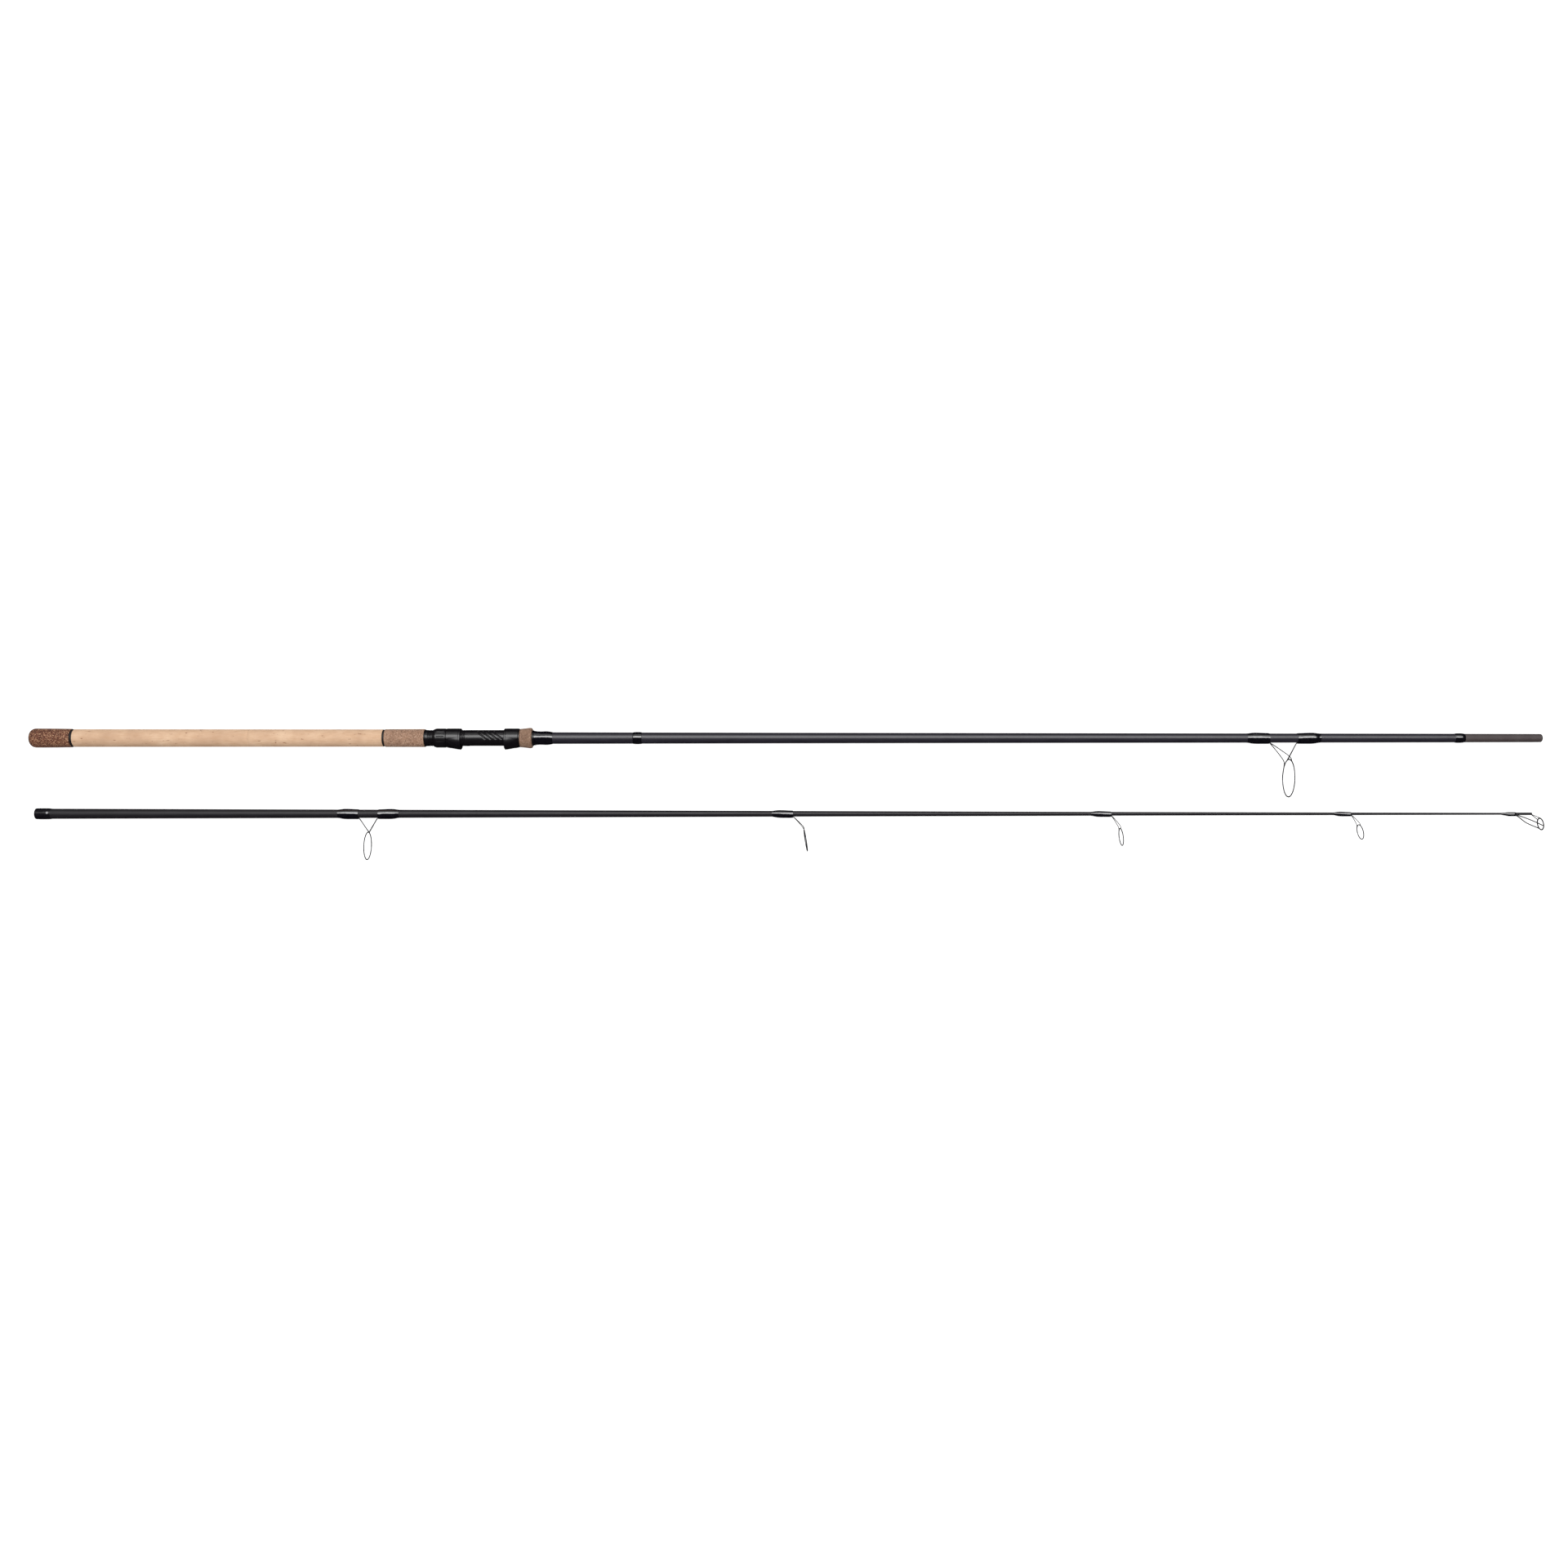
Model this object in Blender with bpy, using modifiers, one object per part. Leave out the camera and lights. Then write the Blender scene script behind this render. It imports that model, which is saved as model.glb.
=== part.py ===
"""Two-piece float and carp style spinning rod, taken apart, both sections lying flat.

Lengths are millimetres here and metres in the meshes. Each section has its own frame:
z runs along the blank from the section's rear end (the station s of every size below),
x points from the blank to the guide rings. The frame is rolled about the blank so that
the largest ring rests on the ground, the way a real rod lies on a table.
"""
import math

import bmesh
import bpy
from mathutils import Matrix, Vector

MM = 0.001
SIDES = 20
STEP_ANGLE = 2 * math.pi / SIDES
FIT = 0.15                       # radial room between glued round pieces

# Where the two sections lie
BUTT_START, BUTT_Y, BUTT_Z = -926.44, 69.23, 12.6
TIP_START, TIP_Y, TIP_Z = -922.3, -23.67, 6.85

# Blank outer radius along each section, as (station, radius)
BUTT_BLANK = [(8.0, 7.45), (643.0, 7.1), (903.0, 6.55), (1742.0, 5.3), (1758.0, 5.2),
              (1849.8, 5.03)]
TIP_BLANK = [(0.0, 6.3), (229.0, 5.6), (578.0, 4.6), (949.0, 3.45), (1340.0, 2.3),
             (1799.0, 1.25), (1836.0, 1.1)]
BLANK_WALL = 1.15
SOCKET_DEPTH = 96.0              # how far the male ferrule goes in, with a little to spare
SOCKET_MOUTH, SOCKET_END = 5.32, 5.14
TIP_BORE_END, TIP_BORE_R = 1450.0, 0.7

# Reel seat
PITCH = 2.0
THREAD_ROOT, THREAD_CREST = 9.35, 9.95
THREAD_START, THREAD_TURNS = 485.0, 25
THREAD_ROOM = 0.26               # radial room of the nut's thread on the seat's thread
BARREL_R, BARREL_START, BARREL_END = 9.82, 534.0, 598.5
BED_DEPTH_X = 8.8                # distance of the flat reel-foot bed from the axis
BED_START, BED_END = 538.0, 592.0
BED_HALF_ANGLE = 40              # degrees, wider than the bed
SEAT_BORE = 8.0
COLLAR_START, COLLAR_END, COLLAR_R = 484.8, 487.2, 9.9
ARBORS = {"seat_arbor_rear": (490.0, 520.0), "seat_arbor_front": (560.0, 595.0)}
KEYWAY_WIDTH, KEYWAY_FLOOR, KEYWAY_START, KEYWAY_TOP = 2.4, 9.0, 488.0, 12.0
KEY_GAP = 0.3                    # room round the hood's key
KEY_FROM, KEY_TO = 0.4, 4.0      # key's ends, from the hood's rear end
NUT_START, NUT_END = 494.5, 510.0
HOOD_START, HOOD_END = 510.3, 527.8
FIXED_START, FIXED_END = 581.0, 598.5
HOOD_R, HOOD_BORE = 11.75, 10.22
LOBE_R, POCKET_R = 9.4, 8.2      # rounding of the hood's lobe and of its pocket

# Hood sections: (distance from the mouth, reach of the lobe, reach of the pocket);
# a reach of 0 leaves the hood round
FIXED_HOOD = [(0.0, 13.9, 12.7), (1.5, 14.3, 13.1), (2.5, 14.2, 13.0), (12.0, 12.5, 11.2),
              (12.6, 12.4, 0), (17.5, 0, 0)]
SLIDING_HOOD = [(0.0, 14.1, 12.9), (0.8, 14.5, 13.3), (2.5, 14.3, 13.1), (12.3, 12.5, 11.2),
                (13.0, 12.4, 0), (17.5, 0, 0)]

# Lock nut sections: (distance from the nut's rear end, radius, depth of the flutes)
NUT_SECTIONS = [(0.0, 10.7, 0), (3.6, 11.7, 0.1), (4.4, 11.7, 0.5), (13.6, 11.7, 0.5),
                (14.4, 11.4, 0), (15.5, 11.4, 0)]
NUT_SIDES, NUT_FLUTES, FLUTE_SHARPNESS = 48, 12, 4

# Handle, from the rear: butt button and cap, then the grips and rings on the blank
CAP_CORNER, CAP_FLAT_R = 7.0, 4.7
BUTTON_END, CAP_START = 2.2, 2.3
CAP_SIDE = [(30.0, 11.6), (51.0, 11.3)]
CAP_BORE_START = 7.6

# Guides: ring centre (station, distance from the axis), outer radius, lean to the tip,
# wire radius, insert thickness, and each leg's foot start, foot end and angle on the ring
GUIDES = {
    "guide_1": dict(at=1537.8, reach=50.37, outer=23.67, lean=-0.9, wire=0.46, insert=0.6,
                    legs={"rear": (1492.0, 1517.8, 46), "front": (1578.0, 1551.2, 11)}),
    "guide_2": dict(at=410.0, reach=40.51, outer=17.52, lean=-1.75, wire=0.42, insert=0.5,
                    legs={"rear": (373.0, 396.8, 12), "front": (444.0, 420.0, 12)}),
    "guide_3": dict(at=945.4, reach=33.5, outer=14.0, lean=9.2, wire=0.38, insert=0.45,
                    legs={"": (906.0, 930.4, 25)}),
    "guide_4": dict(at=1331.6, reach=29.2, outer=11.25, lean=6.8, wire=0.38, insert=0.45,
                    legs={"": (1298.0, 1321.3, 33)}),
    "guide_5": dict(at=1625.0, reach=23.0, outer=9.67, lean=11.3, wire=0.36, insert=0.4,
                    legs={"": (1596.5, 1616.2, 40)}),
}
RING_SIDES = {"guide_1": 36, "guide_2": 30, "guide_3": 26, "guide_4": 24, "guide_5": 22}
INSERT_HALF_WIDTH = 0.62
FOOT_HALF_WIDTH, FOOT_THICKNESS = 0.95, 0.8
FOOT_TIP_HALF_WIDTH, FOOT_TIP_THICKNESS = 0.5, 0.3
FOOT_LIFT = 0.12                 # foot to blank
LEG_WIRE = 0.92                  # leg wire against hoop wire
WRAP_THICKNESS, WRAP_COVER, WRAP_PAST_FOOT, WRAP_SHORT = 0.7, 0.35, 2.0, 0.6

# Wrap over a guide foot: (share of the length from the thin end, share of the foot's
# height, share of the thread's thickness), then the same for the hollow over the foot
WRAP_OUTSIDE = [(0.0, 0.30, 0.3), (0.12, 0.62, 0.85), (0.45, 0.85, 1.0), (0.85, 1.0, 0.8),
                (1.0, 1.0, 0.35)]
WRAP_INSIDE = [(0.0, 0.0), (0.04, 0.5), (1.0, 1.0)]

TIP_TOP = dict(at=1847.1, reach=12.9, outer=7.95, lean=8.7, wire=0.45, insert=0.6)
TIP_TOP_SIDES = 20
TUBE_START, TUBE_END, TUBE_R, TUBE_NOSE_R = 1808.0, 1838.1, 1.62, 1.1
TIP_WIRE, LONG_WIRE_ANGLE, SHORT_WIRE_ANGLE = 0.42, 112, 30
TIP_WRAP_START, TIP_WRAP_END = 1800.0, 1818.2
# (station, reach on the guide side, radius elsewhere) of the tip wrap's outside, and the
# same for the hollow over the tube and its wires
TIP_WRAP_OUTSIDE = [(1800.0, 1.9, 1.6), (1807.6, 3.0, 2.07), (1815.2, 3.1, 2.12), (1818.2, 3.05, 2.02)]
TIP_WRAP_INSIDE = [(1800.0, 1.35, 1.35), (1807.0, 1.35, 1.35), (1807.6, 2.75, 1.74), (1818.2, 2.75, 1.74)]
TIP_WRAP_HOLLOW = 61             # degrees to each side of the guide side

CORK = ((0.78, 0.55, 0.36), 0.75, 0.0)
CAP_CORK = ((0.19, 0.09, 0.06), 0.8, 0.0)
RUBBER_CORK = ((0.36, 0.24, 0.17), 0.8, 0.0)
RUBBER = ((0.02, 0.02, 0.02), 0.7, 0.0)
SEAT = ((0.03, 0.03, 0.035), 0.35, 0.0)
CARBON = ((0.035, 0.035, 0.045), 0.4, 0.0)
WHIPPING = ((0.01, 0.01, 0.012), 0.12, 0.0)
METAL = ((0.12, 0.12, 0.13), 0.3, 1.0)
CERAMIC = ((0.06, 0.06, 0.065), 0.15, 0.0)
FOAM = ((0.5, 0.5, 0.48), 0.9, 0.0)

# Sleeves on the blank: name, finish and the outer radii as (station, radius)
SLEEVES = [
    ("butt_cap_ring", RUBBER, [(51.2, 10.75), (54.0, 10.75)]),
    ("rear_grip_lower", CORK, [(54.2, 10.85), (161.5, 10.75), (268.9, 10.7)]),
    ("rear_grip_upper", CORK, [(269.0, 10.7), (350.6, 10.65), (432.3, 10.6)]),
    ("grip_ring", RUBBER, [(432.5, 10.3), (434.8, 10.3)]),
    ("fore_grip", RUBBER_CORK, [(435.0, 10.9), (459.1, 10.95), (483.3, 11.0)]),
    ("seat_rear_ring", SEAT, [(483.5, 10.4), (484.6, 10.4)]),
    ("seat_front_ring", SEAT, [(598.7, 11.3), (599.8, 11.3)]),
    ("front_grip", RUBBER_CORK,
     [(600.0, 11.2), (606.0, 11.8), (612.2, 12.6), (613.6, 12.4), (615.0, 11.2)]),
    ("front_check", SEAT, [(615.2, 9.6), (616.8, 9.3)]),
    ("seat_whipping", WHIPPING,
     [(617.0, 8.9), (620.0, 8.5), (624.0, 8.2), (629.0, 8.2), (632.0, 8.4), (637.0, 8.1), (640.0, 7.35)]),
    ("trim_whipping", WHIPPING, [(738.0, 7.1), (740.5, 7.5), (746.0, 7.4), (749.0, 7.05)]),
    ("male_ferrule_whipping", WHIPPING, [(1744.0, 5.5), (1747.0, 5.9), (1752.0, 5.8), (1756.5, 5.4)]),
]
PLUG_START, PLUG_SHOULDER = 1836.0, 1849.9
PLUG_NOSE = [(1849.9, 4.95), (1850.8, 4.4), (1851.2, 3.4)]
SOCKET_WHIPPING = [(0.0, 6.55), (1.2, 6.75), (14.0, 6.8), (17.5, 6.75), (19.0, 6.5)]
SOCKET_WHIPPING_BORE = 6.4


def clear_scene():
    for old in list(bpy.data.objects):
        bpy.data.objects.remove(old, do_unlink=True)


def collection(name):
    made = bpy.data.collections.new(name)
    bpy.context.scene.collection.children.link(made)
    return made


def roll_onto(ring_outer, ring_reach, axis_height):
    """Roll angle at which the ring's lowest point is level with the ground."""
    return math.asin((ring_outer - axis_height) / ring_reach)


def section_frame(name, start, y, z, roll):
    """Empty on the rod's axis: z along the rod, x towards the rings."""
    along = Vector((1, 0, 0))
    arm = Vector((0, -math.cos(roll), math.sin(roll)))
    basis = Matrix((arm, along.cross(arm), along)).transposed()
    empty = bpy.data.objects.new(name, None)
    empty.matrix_world = Matrix.Translation(Vector((start, y, z)) * MM) @ basis.to_4x4()
    PARTS.objects.link(empty)
    return empty


def finish_material(name, finish):
    colour, roughness, metallic = finish
    material = bpy.data.materials.new(name)
    material.use_nodes = True
    shader = material.node_tree.nodes["Principled BSDF"]
    shader.inputs["Base Color"].default_value = (*colour, 1)
    shader.inputs["Roughness"].default_value = roughness
    shader.inputs["Metallic"].default_value = metallic
    return material


def add(name, mesh, frame, finish=None, at=0.0):
    """Put a mesh in its section's frame with its origin on the axis at station `at`."""
    obj = bpy.data.objects.new(name, mesh)
    obj.parent = frame
    obj.location = (0, 0, at * MM)
    if finish is None:
        CUTTERS.objects.link(obj)
        obj.hide_render = True
        obj.display_type = "WIRE"
    else:
        PARTS.objects.link(obj)
        mesh.materials.append(finish_material(name, finish))
    return obj


def taper(table, s):
    """Radius at station s, straight between the listed stations."""
    if s <= table[0][0]:
        return table[0][1]
    for (s0, r0), (s1, r1) in zip(table, table[1:]):
        if s <= s1:
            return r0 + (r1 - r0) * (s - s0) / (s1 - s0)
    return table[-1][1]


def screw(obj):
    turn = obj.modifiers.new("turn", "SCREW")
    turn.axis = "Z"
    turn.steps = turn.render_steps = SIDES
    turn.use_merge_vertices = True
    turn.merge_threshold = 0.000001
    turn.use_smooth_shade = True


def turned(name, frame, outer, inner, finish, at=0.0):
    """Turned piece: outer and inner sides as (station, radius) from rear to front.

    A side may start or end on the axis, where the piece is closed.
    """
    outline = inner + outer[::-1]
    points = [(radius * MM, 0, (s - at) * MM) for s, radius in outline]
    edges = [(i, (i + 1) % len(points)) for i in range(len(points))]
    edges = [(i, j) for i, j in edges if outline[i][1] > 0 or outline[j][1] > 0]
    mesh = bpy.data.meshes.new(name)
    mesh.from_pydata(points, edges, [])
    obj = add(name, mesh, frame, finish, at)
    screw(obj)
    return obj


def collar(name, frame, start, end, radius, bore, finish):
    outer = [(start, radius), (end, radius)]
    return turned(name, frame, outer, [(start, bore), (end, bore)], finish)


def polar(radius_at, s, sides=SIDES):
    """Closed ring of points at station s with radius_at(angle from the guide side)."""
    ring = []
    for i in range(sides):
        angle = 2 * math.pi * i / sides
        if angle > math.pi:
            angle -= 2 * math.pi
        radius = radius_at(angle)
        ring.append(Vector((radius * math.cos(angle), radius * math.sin(angle), s)))
    return ring


def loft(rings, closed):
    """Mesh through rings of equal counts: a closed sleeve, or a bar with flat ends."""
    bm = bmesh.new()
    loops = [[bm.verts.new(point * MM) for point in ring] for ring in rings]
    pairs = list(zip(loops, loops[1:]))
    if closed:
        pairs.append((loops[-1], loops[0]))
    else:
        bm.faces.new(loops[0])
        bm.faces.new(loops[-1])
    for low, high in pairs:
        for i in range(len(low)):
            j = (i + 1) % len(low)
            bm.faces.new((low[i], low[j], high[j], high[i]))
    bmesh.ops.connect_verts_nonplanar(bm, angle_limit=math.radians(0.05), faces=bm.faces)
    bmesh.ops.recalc_face_normals(bm, faces=bm.faces)
    mesh = bpy.data.meshes.new("loft")
    bm.to_mesh(mesh)
    bm.free()
    mesh.shade_smooth()
    mesh.set_sharp_from_angle(angle=math.radians(35))
    return mesh


def boolean(obj, other, operation):
    step = obj.modifiers.new(operation.lower(), "BOOLEAN")
    step.operation = operation
    step.solver = "EXACT"
    step.object = other


def threaded_rod(name, frame, root, crest, start, turns, finish=None):
    """Rod with a right-hand V thread; each turn climbs one pitch."""
    bm = bmesh.new()
    count = turns * SIDES

    def point(radius, step, lift):
        angle = step * STEP_ANGLE
        rise = start + PITCH * (step / SIDES + lift)
        return bm.verts.new(Vector((radius * math.cos(angle), radius * math.sin(angle), rise)) * MM)

    valley = [point(root, i, 0) for i in range(count + SIDES + 1)]
    ridge = [point(crest, i, 0.5) for i in range(count + 1)]
    for i in range(count):
        bm.faces.new((valley[i], valley[i + 1], ridge[i + 1], ridge[i]))
        bm.faces.new((ridge[i], ridge[i + 1], valley[i + SIDES + 1], valley[i + SIDES]))
    for first, peak in ((0, ridge[0]), (count, ridge[count])):
        middle = bm.verts.new((0, 0, (start + PITCH * (first / SIDES + 0.5)) * MM))
        for i in range(first, first + SIDES):
            bm.faces.new((middle, valley[i], valley[i + 1]))
        bm.faces.new((valley[first], peak, valley[first + SIDES]))
        bm.faces.new((middle, valley[first], valley[first + SIDES]))
    bmesh.ops.recalc_face_normals(bm, faces=bm.faces)
    mesh = bpy.data.meshes.new(name)
    bm.to_mesh(mesh)
    bm.free()
    return add(name, mesh, frame, finish)


def box(name, frame, low, high):
    """Block between two corners in the section's frame, used as a cutter."""
    centre = (Vector(low) + Vector(high)) / 2 * MM
    size = (Vector(high) - Vector(low)) * MM
    bm = bmesh.new()
    bmesh.ops.create_cube(bm, size=1, matrix=Matrix.Translation(centre) @ Matrix.Diagonal((*size, 1)))
    mesh = bpy.data.meshes.new(name)
    bm.to_mesh(mesh)
    bm.free()
    return add(name, mesh, frame)


def wire(name, frame, points, radius):
    """Round wire through the points, as a mesh that a Boolean can join."""
    curve = bpy.data.curves.new(name, "CURVE")
    curve.dimensions = "3D"
    curve.bevel_depth = radius * MM
    curve.bevel_resolution = 1
    curve.use_fill_caps = True
    spline = curve.splines.new("POLY")
    spline.points.add(len(points) - 1)
    for target, point in zip(spline.points, points):
        target.co = (*(Vector(point) * MM), 1)
    guide = bpy.data.objects.new(name, curve)
    CUTTERS.objects.link(guide)
    evaluated = guide.evaluated_get(bpy.context.evaluated_depsgraph_get())
    mesh = bpy.data.meshes.new_from_object(evaluated)
    bpy.data.objects.remove(guide)
    bm = bmesh.new()
    bm.from_mesh(mesh)
    bmesh.ops.remove_doubles(bm, verts=bm.verts, dist=0.00001)
    bmesh.ops.recalc_face_normals(bm, faces=bm.faces)
    bm.to_mesh(mesh)
    bm.free()
    return add(name, mesh, frame)


# ---------------------------------------------------------------- handle

def handle(frame):
    """Rounded butt button and cap; both share one corner arc."""
    angles = [math.radians(15 * k) for k in range(7)]
    arc = [(CAP_CORNER * (1 - math.cos(a)), CAP_FLAT_R + CAP_CORNER * math.sin(a)) for a in angles]
    split_r = CAP_FLAT_R + math.sqrt(CAP_CORNER ** 2 - (CAP_CORNER - BUTTON_END) ** 2)
    button = [(0, 0)] + [p for p in arc if p[0] < BUTTON_END] + [(BUTTON_END, split_r), (BUTTON_END, 0)]
    turned("butt_end_button", frame, button, [], RUBBER)
    cap = [(CAP_START, 0), (CAP_START, split_r + 0.05)]
    cap += [p for p in arc if p[0] > CAP_START + FIT] + CAP_SIDE
    bore = taper(BUTT_BLANK, 0) + FIT
    hollow = [(CAP_BORE_START, 0), (CAP_BORE_START, bore), (CAP_SIDE[-1][0], bore)]
    turned("butt_cap", frame, cap, hollow, CAP_CORK)


def sleeves(frame):
    """Grips, rings, winding check and whippings that are threaded on the blank."""
    for name, finish, outer in SLEEVES:
        inner = [(s, taper(BUTT_BLANK, s) + FIT) for s in (outer[0][0], outer[-1][0])]
        turned(name, frame, outer, inner, finish)


# -------------------------------------------------------------- reel seat

def barrel_radius(s):
    """Radius around the seat: round, with the flat bed on the guide side."""
    def radius(angle):
        if BED_START <= s <= BED_END and abs(angle) < math.radians(BED_HALF_ANGLE):
            return min(BARREL_R, BED_DEPTH_X / math.cos(angle))
        return BARREL_R
    return radius


def lobed(base, reach, lobe_radius):
    """Radius around a round hood whose rounded lobe stands out to `reach`."""
    offset = reach - lobe_radius

    def radius(angle):
        if abs(angle) > math.pi / 2 or offset <= 0:
            return base
        side = offset * math.sin(angle)
        return max(base, offset * math.cos(angle) + math.sqrt(lobe_radius ** 2 - side ** 2))
    return radius


def hood(name, frame, sections, mouth, towards):
    """Hood sleeve with a pocket for the reel foot, measured from its mouth."""
    outer, inner = [], []
    for distance, reach, pocket in sections:
        s = towards * distance
        outer.append(polar(lobed(HOOD_R, reach, LOBE_R), s))
        inner.append(polar(lobed(HOOD_BORE, pocket, POCKET_R), s))
    return add(name, loft(outer + inner[::-1], closed=True), frame, SEAT, mouth)


def barrel(frame):
    """Threaded and smooth barrel, with its end collar, bed, bore and keyway."""
    edge = 0.01
    stations = (BARREL_START, BED_START - edge, BED_START, BED_END, BED_END + edge, BARREL_END)
    body = loft([polar(barrel_radius(s), s) for s in stations], closed=False)
    seat = add("reel_seat_barrel", body, frame, SEAT)
    thread = threaded_rod("seat_thread", frame, THREAD_ROOT, THREAD_CREST, THREAD_START, THREAD_TURNS)
    past = 3.0
    collar_line = [(COLLAR_START, 0), (COLLAR_START, COLLAR_R), (COLLAR_END, COLLAR_R), (COLLAR_END, 0)]
    bore_line = [(COLLAR_START - past, 0), (COLLAR_START - past, SEAT_BORE),
                 (BARREL_END + past, SEAT_BORE), (BARREL_END + past, 0)]
    keyway = box("seat_keyway", frame, (KEYWAY_FLOOR, -KEYWAY_WIDTH / 2, KEYWAY_START),
                 (KEYWAY_TOP, KEYWAY_WIDTH / 2, BED_START + 0.5))
    boolean(seat, thread, "UNION")
    boolean(seat, turned("thread_end_collar", frame, collar_line, [], None), "UNION")
    boolean(seat, turned("seat_bore", frame, bore_line, [], None), "DIFFERENCE")
    boolean(seat, keyway, "DIFFERENCE")


def reel_seat(frame):
    """Barrel on its arbors, fixed hood, sliding hood with its key, and lock nut."""
    barrel(frame)
    for name, (start, end) in ARBORS.items():
        collar(name, frame, start, end, SEAT_BORE - FIT, taper(BUTT_BLANK, start) + FIT, FOAM)
    hood("fixed_hood", frame, FIXED_HOOD, FIXED_START, 1)
    sliding = hood("sliding_hood", frame, SLIDING_HOOD, HOOD_END, -1)
    half = KEYWAY_WIDTH / 2 - KEY_GAP
    key = box("hood_key", frame, (KEYWAY_FLOOR + KEY_GAP, -half, HOOD_START + KEY_FROM),
              (HOOD_BORE + 0.6, half, HOOD_START + KEY_TO))
    boolean(sliding, key, "UNION")
    lock_nut(frame)


def lock_nut(frame):
    """Fluted nut with an inside thread in step with the seat's thread."""
    def fluted(radius, depth):
        return lambda angle: radius - depth * (0.5 - 0.5 * math.cos(NUT_FLUTES * angle)) ** FLUTE_SHARPNESS
    rings = [polar(fluted(radius, depth), s, NUT_SIDES) for s, radius, depth in NUT_SECTIONS]
    nut = add("lock_nut", loft(rings, closed=False), frame, SEAT, NUT_START)
    turns_before = 3
    tap_start = THREAD_START + PITCH * (math.floor((NUT_START - THREAD_START) / PITCH) - turns_before)
    turns = math.ceil((NUT_END - NUT_START) / PITCH) + 2 * turns_before
    tap = threaded_rod("nut_tap", frame, THREAD_ROOT + THREAD_ROOM, THREAD_CREST + THREAD_ROOM,
                       tap_start, turns)
    boolean(nut, tap, "DIFFERENCE")


def butt_blank(frame):
    """Hollow blank from inside the butt cap to the male ferrule, and its end plug."""
    inner = [(s, r - BLANK_WALL) for s, r in BUTT_BLANK]
    turned("butt_blank", frame, BUTT_BLANK, inner, CARBON)
    fit = taper(BUTT_BLANK, PLUG_SHOULDER) - BLANK_WALL - FIT
    plug = [(PLUG_START, 0), (PLUG_START, fit), (PLUG_SHOULDER, fit)] + PLUG_NOSE + [(PLUG_NOSE[-1][0], 0)]
    turned("male_ferrule_plug", frame, plug, [], RUBBER)


# ----------------------------------------------------------------- guides

def ring_point(guide, radius, beta):
    """Point on the guide's ring; beta 0 is nearest the blank."""
    lean = math.radians(guide["lean"])
    beta = math.radians(beta)
    out = -radius * math.cos(beta)
    return Vector((guide["reach"] + out * math.cos(lean), radius * math.sin(beta),
                   guide["at"] + out * math.sin(lean)))


def round_ring(name, frame, guide, radius, section, finish, sides):
    """Ring of the given section, leaning with its guide."""
    mesh = bpy.data.meshes.new(name)
    points = [((radius + x) * MM, 0, z * MM) for x, z in section]
    count = len(points)
    mesh.from_pydata(points, [(i, (i + 1) % count) for i in range(count)], [])
    obj = add(name, mesh, frame, finish)
    obj.location = Vector((guide["reach"], 0, guide["at"])) * MM
    obj.rotation_euler = (0, -math.radians(guide["lean"]), 0)
    screw(obj)
    obj.modifiers["turn"].steps = obj.modifiers["turn"].render_steps = sides
    return obj


def guide_ring(name, frame, guide, sides):
    """Wire hoop, and the ceramic insert inside it."""
    wire_r = guide["wire"]
    hoop_r = guide["outer"] - wire_r
    angles = [2 * math.pi * (i + 0.5) / 6 for i in range(6)]
    section = [(wire_r * math.sin(a), wire_r * math.cos(a)) for a in angles]
    hoop = round_ring(name + "_frame", frame, guide, hoop_r, section, METAL, sides)
    reach = guide["insert"] / 2
    middle = hoop_r - wire_r - 0.08 - reach
    half = INSERT_HALF_WIDTH
    section = [(reach, half), (reach, -half), (-reach, -half * 0.7), (-reach, half * 0.7)]
    round_ring(name + "_insert", frame, guide, middle, section, CERAMIC, sides)
    return hoop


def foot_block(name, frame, low, start, end):
    """Flat foot lying on the blank, thin at its far end."""
    rings = []
    for s, thickness, half in ((start, FOOT_TIP_THICKNESS, FOOT_TIP_HALF_WIDTH),
                               (end, FOOT_THICKNESS, FOOT_HALF_WIDTH)):
        rings.append([Vector((low, -half, s)), Vector((low + thickness, -half, s)),
                      Vector((low + thickness, half, s)), Vector((low, half, s))])
    return add(name, loft(rings, closed=False), frame)


def guide_leg(name, frame, table, guide, hoop, leg):
    """Foot and its two wires, joined to the hoop."""
    start, end, beta = leg
    towards = 1 if end > start else -1
    low = taper(table, min(start, end)) + FOOT_LIFT
    boolean(hoop, foot_block(name + "_foot", frame, low, start, end), "UNION")
    lift = low + FOOT_THICKNESS / 2
    wire_r = guide["wire"]
    for side in (-1, 1):
        target = ring_point(guide, guide["outer"] - wire_r * 0.6, side * beta)
        root = Vector((lift, side * 0.45, end - 1.6 * towards))
        bend = Vector((lift + 0.25, side * 0.55, end + 0.5 * towards))
        leg_wire = wire(name + "_wire", frame, (root, bend, target), wire_r * LEG_WIRE)
        boolean(hoop, leg_wire, "UNION")


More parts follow.
